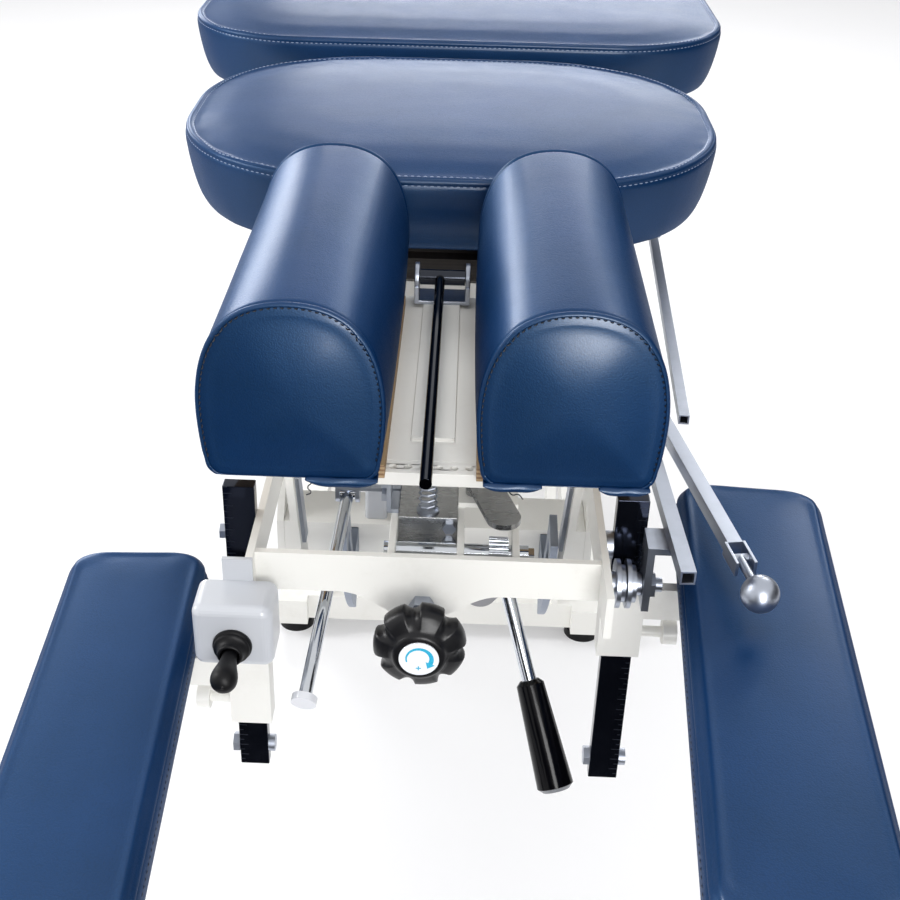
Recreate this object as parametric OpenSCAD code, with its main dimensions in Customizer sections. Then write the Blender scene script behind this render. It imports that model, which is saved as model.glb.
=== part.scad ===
// Treatment table with split face cushions, seen from its head end.
// X runs across the table, Y from the head end to the foot end, Z up from the floor.
// Lengths are in millimetres. Pieces above the lift are placed from the head end of
// the face cushions and from the line that their undersides lie on.

/* [Overall] */
// Distance from the middle of the table to the head end of the face cushions
head_end = 780; // [770:5:790]
// Height of the cushion line above the floor with the table raised
cushion_line = 750; // [750:5:790]

/* [Face cushions] */
// Width of one face cushion
face_w = 120; // [112:2:124]
// Length of one face cushion between its end seams
face_l = 310; // [296:2:312]
// Height of one face cushion
face_h = 123; // [110:1:128]
// Gap between the two face cushions
face_gap = 56; // [50:2:60]
// How far the end panels swell out
face_dome = 7; // [4:1:8]
// Inset of the sewn bottom edge from the widest part
face_tuck = 5; // [3:1:8]

/* [Chest cushion] */
// Gap between the face cushions and the chest cushion
chest_gap = 42; // [40:1:50]
// Length of the chest cushion
chest_l = 395; // [385:5:400]
// Width of the chest cushion
chest_w = 500; // [480:5:520]
// Radius of its corners in plan
chest_r = 170; // [150:5:180]

/* [Hip cushion] */
// Gap between the chest cushion and the hip cushion
hip_gap = 70; // [64:2:76]
// Length of the hip cushion
hip_l = 480; // [470:5:490]
// Width of the hip cushion
hip_w = 640; // [620:5:650]
// Radius of its corners in plan
hip_r = 140; // [120:5:150]

/* [Leg cushion] */
// Gap between the hip cushion and the leg cushion
leg_gap = 40; // [34:2:46]
// Length of the leg cushion
leg_l = 513; // [500:1:516]
// Width of the leg cushion
leg_w = 560; // [520:10:600]
// Radius of its corners in plan
leg_r = 80; // [50:5:110]

/* [Body cushions] */
// Height of the cushion side from its board to the seam
side_h = 68; // [60:1:74]
// Rise of the crown above the seam
crown_h = 19; // [12:1:24]
// How far the side is drawn in at the bottom
side_tuck = 14; // [8:1:18]
// Height of the cushion bottom above the cushion line
body_rise = 10; // [9:1:12]
// Thickness of the plywood boards
board_t = 12; // [11:1:13]

/* [Arm pads] */
// Length of an arm pad
pad_l = 400; // [380:5:410]
// Width of an arm pad
pad_w = 105; // [95:1:110]
// Height of its side
pad_side = 40; // [34:1:42]
// Rise of its crown
pad_crown = 7; // [4:1:8]
// Radius of its corners in plan
pad_r = 24; // [16:1:30]
// Length of the pad beyond its swivel, towards the foot end
pad_back = 67; // [60:1:70]
// Turn of the right pad, near end inwards, in degrees
pad_turn_right = 4.5; // [2:0.5:6]
// Turn of the left pad, near end inwards, in degrees
pad_turn_left = 3; // [2:0.5:5]
// How much lower the left pad is set than the right one
pad_drop = 78; // [70:1:80]

/* [Arm posts] */
// Width of the flat steel post
post_w = 22; // [18:1:23]
// Thickness of the post
post_t = 10; // [8:1:11]
// Length of the post
post_l = 255; // [250:1:262]
// Distance of the right post from the middle
post_x_right = 138; // [137:0.5:139]
// Height of the sliding sleeve
sleeve_h = 59; // [50:1:60]
// Wall of the sleeve
sleeve_wall = 4; // [3:0.5:4.5]
// Distance of the right pad swivel from the middle
swivel_right = 225; // [222:1:230]
// Distance of the left pad swivel from the middle
swivel_left = 220; // [218:1:226]

/* [Head frame] */
// Distance of the side rails from the middle
rail_x = 118; // [117:0.5:118.5]
// Height of the flat bars of the head frame
rail_h = 32; // [28:1:34]
// Thickness of the flat bars
bar_t = 5; // [4:0.5:6]
// Depth of the lobe under the front bar
lobe_h = 22; // [20:1:26]
// Width of the lobe
lobe_w = 108; // [96:2:112]
// Length of the cheek plates
cheek_l = 178; // [170:1:178]

/* [Drop platform] */
// Width of the pressed platform
plate_w = 206; // [200:1:208]
// Thickness of its sheet
plate_t = 3; // [2:0.5:3]
// Height of its side flanges
flange_h = 24; // [22:1:26]
// Width of the raised rib along its middle
rib_w = 30; // [24:1:34]
// Pitch of the tapped holes
hole_pitch = 10.3; // [10:0.1:11]
// Diameter of the tapped holes
hole_d = 5; // [4:0.5:5.5]
// Number of tapped holes
hole_n = 10; // [6:1:11]

/* [Drop spring] */
// Wire of the spring
wire_d = 1.8; // [1.4:0.1:2]
// Outer diameter of the spring
coil_d = 14; // [12:0.5:16]
// Number of turns
coil_n = 9; // [7:1:10]

/* [Hand controls] */
// Diameter of the tension knob
knob_d = 60; // [54:1:62]
// Number of its lobes
knob_n = 7; // [6:1:8]
// Diameter of the rod of the paper bar
paper_rod_d = 8; // [7:0.5:9]
// Diameter of its cross rod
paper_cross_d = 13; // [11:0.5:13.5]
// Diameter of the rod of the cocking lever
lever_d = 10; // [8:0.5:10]
// Largest diameter of the tapered grip
grip_d = 25; // [22:0.5:27]
// Length of the grip
grip_l = 76; // [70:1:80]
// Diameter of the release rod
release_d = 9; // [8:0.5:9.5]
// Side of the square side levers
square_d = 10; // [8:0.5:10]
// Width of the switch box
switch_w = 53; // [48:1:54]
// Height of the switch box
switch_h = 48; // [44:1:50]
// Depth of the switch box
switch_t = 32; // [28:1:36]

/* [Chassis] */
// Distance of the chassis rails from the middle
chassis_x = 150; // [150:0.5:151]
// Width of a chassis rail
chassis_w = 30; // [28:1:30]
// Height of a chassis rail
chassis_h = 60; // [50:1:62]

/* [Lift] */
// Length of a lift arm between its pivots
arm_l = 500; // [496:1:504]
// Angle of the lift arms above level, table raised, in degrees
arm_angle = 62; // [60:0.5:63]
// Thickness of a lift arm
arm_t = 12; // [10:1:12]
// Width of a lift arm
arm_w = 50; // [44:1:52]
// Diameter of the pivot shafts
shaft_d = 20; // [16:1:22]
// Distance between the front and rear pivots
pivot_gap = 430; // [420:5:440]
// Height of the crank under the upper front shaft
crank_l = 90; // [84:1:94]

/* [Base] */
// Distance of the base tubes from the middle
base_x = 205; // [200:1:215]
// Side of the base tubes
base_tube = 40; // [36:1:40]
// Length of the base tubes
base_l = 760; // [740:5:780]
// Height of the rubber feet
foot_h = 25; // [22:1:28]
// Diameter of the rubber feet
foot_d = 50; // [44:1:54]

/* [Hidden] */
// Running play round shafts, as a radius
play = 0.05;
// Space between neighbours on different bodies
clear = 0.3;
// Overrun of a cut past the face that it opens
over = 1;
// Play at the pivot where the lift linkage is open
open_play = 0.3;

// Head frame
frame_top = -58;
frame_bottom = frame_top - rail_h;
pivot_y = 335;
pivot_z = frame_top - rail_h / 2;
pivot_d = 12;
front_bar_y = 2;
front_bar_drop = 2;
left_rail_y = -7;
right_rail_y = -38;
rear_bar_y = 185;
lobe_x = -5;
cheek_left_x = -25;
cheek_mid_x = 21.5;
cheek_right_x = 59;
cheek_top = -62;
cheek_bottom = -100;
rail_in = rail_x - bar_t / 2;
rail_out = rail_x + bar_t / 2;
hinge_back = 10;
hinge_y = face_l - hinge_back;
rail_end = max(pivot_y, hinge_y);
hinge_z = -24;
hinge_d = 10;
hinge_ear = 24;
lever_ear_w = 30;
lever_ear_top = -24;

// Tilt lock
yoke_y = 150;
yoke_z = -172;
yoke_d = 14;
yoke_w = 30;
yoke_t = 6;
yoke_bottom_x = 104;
yoke_foot = 14;
strip_w = 14;
strip_t = 3;
strip_end = 8;
quad_left_x = -68;
quad_right_x = 93.5;
quad_t = 6;
quad_band = 17;
quad_first = 193;
quad_last = 231;
slot_first = 199;
slot_last = 224;
web_first = 214;
web_last = 226;
tilt_r = norm([pivot_y - yoke_y, pivot_z - yoke_z]);

// Spring block and spring
block_y = 51;
block_l = 47;
block_top = -60;
block_bottom = -112;
block_t = 3;
spring_x = -2;
spring_y = 60;
washer_d = 16;
washer_t = 1.2;
coil_sides = 6;
coil_rings = 8;

// Drop platform
plate_top = -10;
plate_y = 62;
plate_past = 2;
plate_end = face_l + plate_past;
strip_y = 44;
strip_half = 75;
hole_bar_y = 28;
hole_bar_half = 60;
hole_bar_h = 10;
rib_h = 3;
rib_start = 70;
board_gap = 2;
board_set = 20;
clamp_back = 21;
clamp_y = face_l - clamp_back;
clamp_l = 26;
clamp_t = 4;
ear_t = 4;
ear_h = 24;
paper_back = 8;
paper_y = face_l - paper_back;
paper_z = 12;
paper_end = -20;
paper_pin_d = 6;
paper_ear_half = 23;

// Tension knob
knob_x = -3;
knob_z = -100;
knob_front = -53;
knob_back = -29;
knob_disc_d = 26;
knob_disc_t = 0.8;
knob_lobe_d = 17;
knob_web_d = 46;
knob_face_d = 34;
knob_face_t = 3;
screw_d = 10;
screw_end = 60;
hub_d = 22;
hub_l = 12;
nut_w = 17;
nut_t = 10;

// Cocking lever
cocking_y = 30;
cocking_z = -74;
cocking_d = 13;
cocking_start = -31;
cocking_end = 68;
cocking_hub_d = 24;
cocking_hub_x = 41;
cocking_hub_l = 13;
cocking_fall = 52.4;
cocking_swing = 26.5;
cocking_rod_l = 108;
lever_room = 8.5;
grip_root = 88;
grip_small = 19;
grip_neck = 3;
teeth_n = 20;
tooth_d = 2.4;

// Tongue lever
tongue_x = 31;
tongue_y = 82;
tongue_z = -42;
tongue_w = 23;
tongue_t = 4;
tongue_reach = 62;
tongue_turn = 17.5;
tongue_pin_d = 8;
bridge_y = 68;
bridge_l = 28;
bridge_t = 4;

// Release rod
release_x = -61;
release_y = 92;
release_z = -68;
release_fall = 23.4;
release_swing = 6.2;
release_l = 163;
release_pin_d = 6;
knuckle_proud = 0.6;
knuckle_side = 0.8;
release_knuckle = release_d + 2 * knuckle_proud;
fork_w = 14;
fork_t = 3;
fork_play = 1.2;
disc_d = 17;
disc_t = 5;
bolt_plate_x = -31;
bolt_plate_t = 3;
bolt_plate_y = 58;
bolt_plate_l = 24;
bolt_plate_top = -36;
bolt_head_w = 10;
bolt_head_t = 4;
bolt_y = 70;
bolt_upper_z = -43;
bolt_lower_z = -54;
small_head_w = 8.5;
small_head_t = 3.5;
small_head_x = 13.3;
small_upper_z = -67;
small_lower_z = -81;

// Switch box
switch_x = -125.5;
switch_top = -75;
switch_r = 7;
boot_d = 26;
boot_z = -104;
boot_l = 12;
stick_z = -104;
stick_neck_d = 8.5;
stick_bulb_d = 17.5;
stick_l = 34;
stick_ball = 8;
stick_room = 2.3;
stick_seat_d = 14.5;
stick_pivot = 8;
stick_pin_d = 4;
stick_pin_l = 21;
box_plate_t = 3;
box_plate_h = 30;

// Arm posts, sleeves and pads
post_y = 46;
post_top = -34;
post_x_left = -(rail_out + post_w / 2);
post_bolt_z = -74;
stop_up = 18;
stop_z = post_top - post_l + stop_up;
stop_head_d = 13;
stop_t = 5;
sleeve_top = -106.3;
arm_h = 26;
arm_bar_t = 9;
arm_top_gap = 2;
flange_w = 34;
flange_t = 8;
flange_end = 20;
pad_plate_t = 5;
pad_plate_w = 66;
pad_plate_l = 300;
pad_plate_back = 50;
pin_d = 12;
pin_head_d = 20;
pin_head_t = 4;
clamp_screw_d = 8;
clamp_screw_l = 16;
clamp_knob_d = 18;
clamp_knob_l = 10;
clamp_knob_z = 42;

// Tilt lock lever and its friction discs
lock_y = 22;
lock_z = -89;
lock_bolt_d = 10;
lock_bolt_end = 160;
stack_start = 128;
stack_n = 4;
stack_pitch = 3.6;
stack_disc_t = 3;
stack_d = 34;
stack_small_d = 26;
strap_x = 146;
strap_t = 5;
strap_w = 25;
strap_out = 22;
strap_low = -103;
lock_tube_z = -46;
lock_tube_near = [166.5, -29];
lock_tube_far = [159.7, 124];
tube_wall = 1.2;

// Side levers
inner_near = [197.5, -7];
inner_far = [148.5, 285];
inner_z = -36;
inner_bolt_d = 10;
inner_boss = 9;
head_room = 24;
fork_l = 24;
fork_side = 14;
knob_rod_d = 6;
knob_rod_l = 26;
ball_d = 24;
outer_near = [188.2, 167];
outer_far = [205.8, 560];
outer_z = -40;
outer_side = 8;
outer_bolt_d = 10;
bracket_t = 5;
bracket_w = 36;
bracket_low = -84;
bracket_top = -26;
bolt_head_d = 16;

// Chassis
chassis_top = -50;
chassis_bottom = chassis_top - chassis_h;
chassis_y = 345;
chassis_end = 1840;
chassis_in = chassis_x - chassis_w / 2;
chassis_out = chassis_x + chassis_w / 2;
tube_t = 3;
member_w = 40;
member_h = 44;
ear_plate_t = 6;
ear_r = 17;
ear_end = 420;
channel_y = 222;
channel_d = 50;
channel_top = -183;
channel_bottom = -233;
channel_t = 4;
notch_half = 20;
notch_l = 16;
housing_x = -60;
housing_w = 19;
housing_y = 230;
housing_l = 26;
housing_h = 33;
housing_r = 4;
support_w = 20;
cushion_board_in = 48;
hinge_shaft_d = 12;
hinge_set = 22;
hinge_ear_t = 5;
hinge_ear_l = 36;
hinge_ear_top = -4.5;
frame_bar_h = 20;
frame_bar_w = 18;
stop_pad_d = 20;
stop_pad_h = 12;
stop_pad_y = 60;

// Lift, placed from the middle of the table and from the floor
low_y = 40;
low_z = 110;
high_y = low_y + arm_l * cos(arm_angle);
high_z = low_z + arm_l * sin(arm_angle);
lug_t = 8;
lug_gap = 1;
lug_w = 80;
lug_r = 19;
lug_in = chassis_x + arm_t / 2 + lug_gap;
shaft_over = 3;
torque_d = 40;
crank_turn = 18;
crank_t = 6;
crank_r = 13;
crank_pin_d = 12;

// Actuator, placed like the pieces above the lift
act_x = 45;
act_z = -286.3;
act_pin_y = 490;
act_pin_d = 12;
act_lug_half = 8;
act_lug_r = 14;
gear_y = 508;
gear_l = 56;
gear_half = 30;
gear_top = -256;
gear_bottom = -372;
gear_r = 8;
outer_tube_d = 32;
outer_tube_end = 900;
bore_start = 585;
rod_d = 20;
rod_start = 660;
eye_l = 40;
eye_h = 38;
eye_t = 12;
eye_rise = 4.6;
eye_play = 0.4;
motor_d = 46;
motor_z = -345;
motor_y = 345;
motor_nose = 14;
hanger_t = 6;
hanger_w = 40;

// Base, placed from the middle of the table and from the floor
base_y = -15;
cross_w = 40;
tray_t = 4;
tray_y = 540;
tray_l = 130;
power_w = 170;
power_l = 110;
power_h = 52;
power_r = 8;
inlet_w = 28;
inlet_h = 22;
inlet_t = 4;
base_foot_y = 25;
base_foot_far = 720;
base_foot_neck = 34;

// Helpers
module lifted() translate([0, -head_end, cushion_line]) children();
module box(a, b) translate(a) cube(b - a);
module rod_x(a, b, y, z, d, n = 64)
    translate([a, y, z]) rotate([0, 90, 0]) cylinder(h = b - a, d = d, $fn = n);
module rod_y(a, b, x, z, d, n = 64)
    translate([x, a, z]) rotate([-90, 0, 0]) cylinder(h = b - a, d = d, $fn = n);
module rod_z(a, b, x, y, d, n = 64)
    translate([x, y, a]) cylinder(h = b - a, d = d, $fn = n);
// A flat shape drawn in the side view, seen with Y to the right and Z up
module side_plate(x, t) translate([x, 0, 0]) rotate([90, 0, 90]) linear_extrude(t) children();
module pair() { children(); mirror([1, 0, 0]) children(); }
// A closed tube with a wall, from one corner to the other
module tube_box(a, b, wall) difference() {
    box(a, b);
    box(a + [wall, wall, wall], b - [wall, wall, wall]);
}
module rounded_plate(w, l, r) {
    translate([r - w / 2, -l / 2]) square([w - 2 * r, l]);
    translate([-w / 2, r - l / 2]) square([w, l - 2 * r]);
    for (i = [1, -1], j = [1, -1]) translate([i * (w / 2 - r), j * (l / 2 - r)]) circle(r = r, $fn = 48);
}

// Outline of a rectangle with round corners, in the plan view
function round_outline(w, l, r, n) = [for (c = [0:3], i = [0:n - 1])
    let (a = 90 * (c + i / (n - 1)), sx = (c == 0 || c == 3) ? 1 : -1, sy = c < 2 ? 1 : -1)
    [sx * (w / 2 - r) + r * cos(a), sy * (l / 2 - r) + r * sin(a)]];
// Skin over a stack of rings that all have n points, with fans at both ends
function skin_faces(n, m) = concat(
    [for (j = [0:m - 2], i = [0:n - 1]) [j * n + i, (j + 1) * n + i, j * n + (i + 1) % n]],
    [for (j = [0:m - 2], i = [0:n - 1]) [j * n + (i + 1) % n, (j + 1) * n + i, (j + 1) * n + (i + 1) % n]],
    [for (i = [0:n - 1]) [n * m, i, (i + 1) % n]],
    [for (i = [0:n - 1]) [n * m + 1, (m - 1) * n + (i + 1) % n, (m - 1) * n + i]]);

// Body cushion: drawn-in sides, a pinched seam and a soft crown.
// Each row is the inset as a share of the tuck and the height as a share of the side.
side_shares = [[1, 0], [0.72, 0.1], [0.4, 0.32], [0.14, 0.6], [0, 0.86], [0.1, 0.96], [0.2, 1]];
// Each row is the inset as a share of half the shorter side and the height as a share of the crown.
crown_shares = [[0.025, 0.2], [0.08, 0.45], [0.18, 0.7], [0.36, 0.9], [0.62, 0.985]];
function cushion_rings(w, l, r, side, crown, tuck, n) = concat(
    [for (s = side_shares) let (d = s[0] * tuck)
        [for (p = round_outline(w - 2 * d, l - 2 * d, r - d / 2, n)) [p[0], p[1], s[1] * side]]],
    [for (s = crown_shares) let (d = s[0] * min(w, l) / 2)
        [for (p = round_outline(w - 2 * d, l - 2 * d, max(r - d, r / 4), n))
            [p[0], p[1], side + s[1] * crown]]]);
module body_cushion(w, l, r, side, crown, tuck, n) {
    rings = cushion_rings(w, l, r, side, crown, tuck, n);
    flat = [for (g = rings) for (p = g) p];
    polyhedron(concat(flat, [[0, 0, 0], [0, 0, side + crown]]), skin_faces(4 * n, len(rings)), 4);
}

// Face cushion: an arched section swept along its length, with domed end panels.
// Each row is a place on the half section, as shares of half the width and of the height.
arch_shares = [[0.5, 0], [0.9, 0], [0.955, 0.1], [0.985, 0.24], [1, 0.4], [0.985, 0.53],
    [0.93, 0.67], [0.83, 0.79], [0.68, 0.89], [0.48, 0.955], [0.25, 0.99]];
function arch(w, h) = concat(
    [for (s = arch_shares) [-s[0] * w / 2, s[1] * h]], [[0, h]],
    [for (i = [len(arch_shares) - 1:-1:0]) [arch_shares[i][0] * w / 2, arch_shares[i][1] * h]],
    [[0, 0]]);
// Each row is a place along the length, the swell as a share of the dome and the size of the section.
dome_shares = [[0.45, 0.8], [0.8, 0.55], [0.95, 0.28]];
seam_shares = [[0, 0.975], [0.02, 1], [0.1, 1.008], [0.3, 1.012]];
function face_ring(y, s) = [for (p = arch(face_w, face_h))
    [s * p[0], y, face_h / 2 + s * (p[1] - face_h / 2) + (s > 1 ? (s - 1) * face_h / 2 : 0)]];
function dome_ring(y, s) = [for (p = arch(face_w, face_h))
    [s * p[0], y, face_h * 0.45 + s * (p[1] - face_h * 0.45)]];
module face_cushion() {
    near = [for (i = [len(dome_shares) - 1:-1:0])
        dome_ring(-dome_shares[i][0] * face_dome, dome_shares[i][1])];
    mid = concat([for (s = seam_shares) face_ring(s[0] * face_l, s[1])],
        [for (i = [len(seam_shares) - 1:-1:0]) face_ring((1 - seam_shares[i][0]) * face_l,
            seam_shares[i][1])]);
    far = [for (s = dome_shares) dome_ring(face_l + s[0] * face_dome, s[1])];
    rings = concat(near, mid, far);
    n = len(rings[0]);
    flat = [for (g = rings) for (p = g) p];
    ends = [[0, -face_dome, face_h * 0.45], [0, face_l + face_dome, face_h * 0.45]];
    polyhedron(concat(flat, ends), skin_faces(n, len(rings)), 4);
}

// Spring: one tube along a helix
coil_r = (coil_d - wire_d) / 2;
coil_low = block_top + washer_t + wire_d / 2;
coil_high = plate_top - plate_t - clear - wire_d / 2;
coil_pitch = (coil_high - coil_low) / coil_n;
coil_steps = coil_n * coil_rings;
tau_r = 2 * PI * coil_r;
function coil_at(i) = let (a = 360 * i / coil_rings)
    [coil_r * cos(a), coil_r * sin(a), coil_low + coil_pitch * i / coil_rings];
coil_points = [for (i = [0:coil_steps]) let (a = 360 * i / coil_rings, c = coil_at(i),
    out = [cos(a), sin(a), 0], run = [-sin(a) * tau_r, cos(a) * tau_r, coil_pitch],
    up = cross(run / norm(run), out))
    for (k = [0:coil_sides - 1]) let (b = 360 * k / coil_sides)
        c + wire_d / 2 * (cos(b) * out + sin(b) * up)];
coil_gap = min([for (i = [0:coil_steps], j = [i + coil_rings / 2 + 1:1:coil_steps])
    norm(coil_at(i) - coil_at(j))]) - wire_d;
echo(coil_gap = coil_gap);

// Cushions
chest_y = face_l + chest_gap;
hip_y = chest_y + chest_l + hip_gap;
leg_y = hip_y + hip_l + leg_gap;
body_outline_n = 12;
pad_outline_n = 9;
module place_body(y, l) lifted() translate([0, y + l / 2, body_rise]) children();
module face_cushion_left() color("midnightblue") lifted()
    translate([-(face_gap + face_w) / 2, 0, 0]) face_cushion();
module face_cushion_right() color("midnightblue") lifted()
    translate([(face_gap + face_w) / 2, 0, 0]) face_cushion();
module chest_cushion() color("midnightblue") place_body(chest_y, chest_l)
    body_cushion(chest_w, chest_l, chest_r, side_h, crown_h, side_tuck, body_outline_n);
module hip_cushion() color("midnightblue") place_body(hip_y, hip_l)
    body_cushion(hip_w, hip_l, hip_r, side_h, crown_h, side_tuck, body_outline_n);
module leg_cushion() color("midnightblue") place_body(leg_y, leg_l)
    body_cushion(leg_w, leg_l, leg_r, side_h, crown_h, side_tuck, body_outline_n);

// Head frame: side rails, front bar with its lobe, rear bar and hinge ears, welded
module head_frame() color("whitesmoke") lifted() difference() {
    union() {
        box([-rail_out, left_rail_y, frame_bottom], [-rail_in, rail_end, frame_top]);
        box([rail_in, right_rail_y, frame_bottom], [rail_out, rail_end, frame_top]);
        pair() rod_x(rail_in, rail_out, pivot_y, pivot_z, rail_h);
        box([-rail_in, front_bar_y, frame_bottom], [rail_in, front_bar_y + bar_t,
            frame_top - front_bar_drop]);
        box([-rail_in, rear_bar_y, frame_bottom], [rail_in, rear_bar_y + bar_t,
            frame_top - front_bar_drop]);
        translate([0, front_bar_y + bar_t, 0]) rotate([90, 0, 0]) linear_extrude(bar_t) lobe();
        pair() box([rail_in, hinge_y - hinge_ear / 2, frame_top], [rail_out, hinge_y, hinge_z]);
        pair() box([rail_in, hinge_y, frame_top], [rail_out, hinge_y + hinge_ear / 2, hinge_z]);
        pair() rod_x(rail_in, rail_out, hinge_y, hinge_z, hinge_ear);
        box([rail_out, inner_far[1] - lever_ear_w / 2, frame_bottom], [rail_out + bar_t, inner_far[1]
            + lever_ear_w / 2, lever_ear_top]);
    }
    rod_x(-rail_out - over, rail_out + over, pivot_y, pivot_z, pivot_d + 2 * play);
    rod_x(-rail_out - over, rail_out + over, hinge_y, hinge_z, hinge_d);
    rod_x(rail_out - over, rail_out + bar_t + over, inner_far[1], inner_z, inner_bolt_d);
    rod_y(front_bar_y - over, front_bar_y + bar_t + over, knob_x, knob_z, screw_d + 2 * clear);
    rod_x(rail_in - over, rail_out + over, lock_y, lock_z + bar_t, lock_bolt_d);
}
lobe_n = 24;
module lobe() polygon(concat([[lobe_x + lobe_w / 2, frame_bottom + bar_t], [lobe_x - lobe_w / 2,
    frame_bottom + bar_t]],
    [for (i = [0:lobe_n]) let (s = 2 * i / lobe_n - 1)
        [lobe_x + s * lobe_w / 2, frame_bottom - lobe_h * (1 + cos(180 * s)) / 2]]));

module cheek(x) difference() {
    box([x - bar_t / 2, front_bar_y + bar_t, cheek_bottom], [x + bar_t / 2, front_bar_y + bar_t
        + cheek_l, cheek_top]);
    rod_x(x - bar_t, x + bar_t, cocking_y, cocking_z, cocking_d + 2 * play);
}
module cheek_plates() color("whitesmoke") lifted() {
    cheek(cheek_left_x);
    cheek(cheek_mid_x);
    difference() {
        cheek(cheek_right_x);
        box([cheek_right_x - bar_t, front_bar_y, cheek_bottom - over],
            [cheek_right_x + bar_t, cocking_y + lever_room, cocking_z - lever_room]);
    }
    difference() {
        box([cheek_mid_x - bar_t / 2, bridge_y, cheek_top], [cheek_right_x + bar_t / 2, bridge_y
            + bridge_l, cheek_top + bridge_t]);
        rod_z(cheek_top - over, cheek_top + bridge_t + over, tongue_x, tongue_y, tongue_pin_d + 2 * play);
    }
}

// Tilt lock: two legs lean in from the rails and carry a rod that runs in arc slots
yoke_top_x = rail_in - yoke_t / 2;
yoke_lean = atan2(yoke_top_x - yoke_bottom_x, frame_top - yoke_z);
yoke_l = norm([yoke_top_x - yoke_bottom_x, frame_top - yoke_z]);
module yoke_leg() difference() {
    translate([yoke_top_x, yoke_y, frame_top]) rotate([0, yoke_lean, 0]) union() {
        box([-yoke_t / 2, -yoke_w / 2, -yoke_l], [yoke_t / 2, yoke_w / 2, -bar_t]);
        translate([-yoke_t / 2, 0, -yoke_l]) rotate([0, 90, 0]) cylinder(h = yoke_t, d = yoke_w, $fn = 64);
    }
    box([rail_in, yoke_y - yoke_w, frame_bottom - yoke_w], [rail_out + yoke_w, yoke_y + yoke_w,
        frame_top + yoke_t]);
}
module tilt_yoke() color("whitesmoke") lifted() difference() {
    union() {
        pair() yoke_leg();
        rod_x(-yoke_bottom_x, yoke_bottom_x, yoke_y, yoke_z, yoke_d);
    }
    box([-rail_in, yoke_y - yoke_w, frame_top - front_bar_drop], [rail_in, yoke_y + yoke_w, frame_top
        + yoke_w]);
}
module tilt_strips() color("silver") lifted() pair()
    translate([yoke_top_x, yoke_y, frame_top]) rotate([0, yoke_lean, 0])
        box([-yoke_t / 2 - strip_t, -strip_w / 2, strip_end - yoke_l + yoke_foot], [-yoke_t / 2,
            strip_w / 2, -rail_h]);
module quadrant(x) side_plate(x - quad_t / 2, quad_t) difference() {
    union() {
        ring_part(tilt_r - quad_band, tilt_r + quad_band, quad_first, quad_last);
        polygon([[channel_y + 2 * channel_t, channel_top - channel_t], [channel_y + 2 * channel_t,
            channel_bottom + channel_t],
            polar(tilt_r, web_last), polar(tilt_r, web_first)]);
    }
    ring_part(tilt_r - yoke_d / 2 - clear, tilt_r + yoke_d / 2 + clear, slot_first, slot_last);
    for (a = [slot_first, slot_last]) translate(polar(tilt_r, a)) circle(d = yoke_d + 2 * clear, $fn = 48);
}
function polar(r, a) = [pivot_y + r * cos(a), pivot_z + r * sin(a)];
module ring_part(inner, outer, first, last) intersection() {
    translate([pivot_y, pivot_z]) difference() {
        circle(r = outer, $fn = 180);
        circle(r = inner, $fn = 180);
    }
    polygon([[pivot_y, pivot_z], polar(2 * outer, first), polar(2 * outer, (first + last) / 2), polar(2
        * outer, last)]);
}
module tilt_quadrants() color("gainsboro") lifted() {
    quadrant(quad_left_x);
    quadrant(quad_right_x);
}

// Spring block: a bent cover plate between the two left cheeks
block_left = cheek_left_x + bar_t / 2;
block_right = cheek_mid_x - bar_t / 2;
module spring_block() color("silver") lifted() difference() {
    box([block_left, block_y, block_bottom], [block_right, block_y + block_l, block_top]);
    box([block_left + block_t, block_y + block_t, block_bottom - over], [block_right - block_t, block_y
        + block_l - block_t, block_top - block_t]);
    rod_y(block_y - over, block_y + block_t + over, knob_x, knob_z, screw_d + 2 * play);
}
module hex_y(y, l, x, z, w) translate([x, y, z]) rotate([-90, 0, 0]) cylinder(h = l, d = w / cos(30),
    $fn = 6);
module hex_x(x, l, y, z, w) translate([x, y, z]) rotate([0, 90, 0]) cylinder(h = l, d = w / cos(30),
    $fn = 6);
module hex_z(z, l, x, y, w) translate([x, y, z]) cylinder(h = l, d = w / cos(30), $fn = 6);
module fork_plate(x) difference() {
    union() {
        box([x, release_y - fork_w / 2, release_z], [x + fork_t, release_y + fork_w / 2, cheek_top]);
        rod_x(x, x + fork_t, release_y, release_z, fork_w);
    }
    rod_x(x - over, x + fork_t + over, release_y, release_z, release_pin_d + 2 * play);
}
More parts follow.
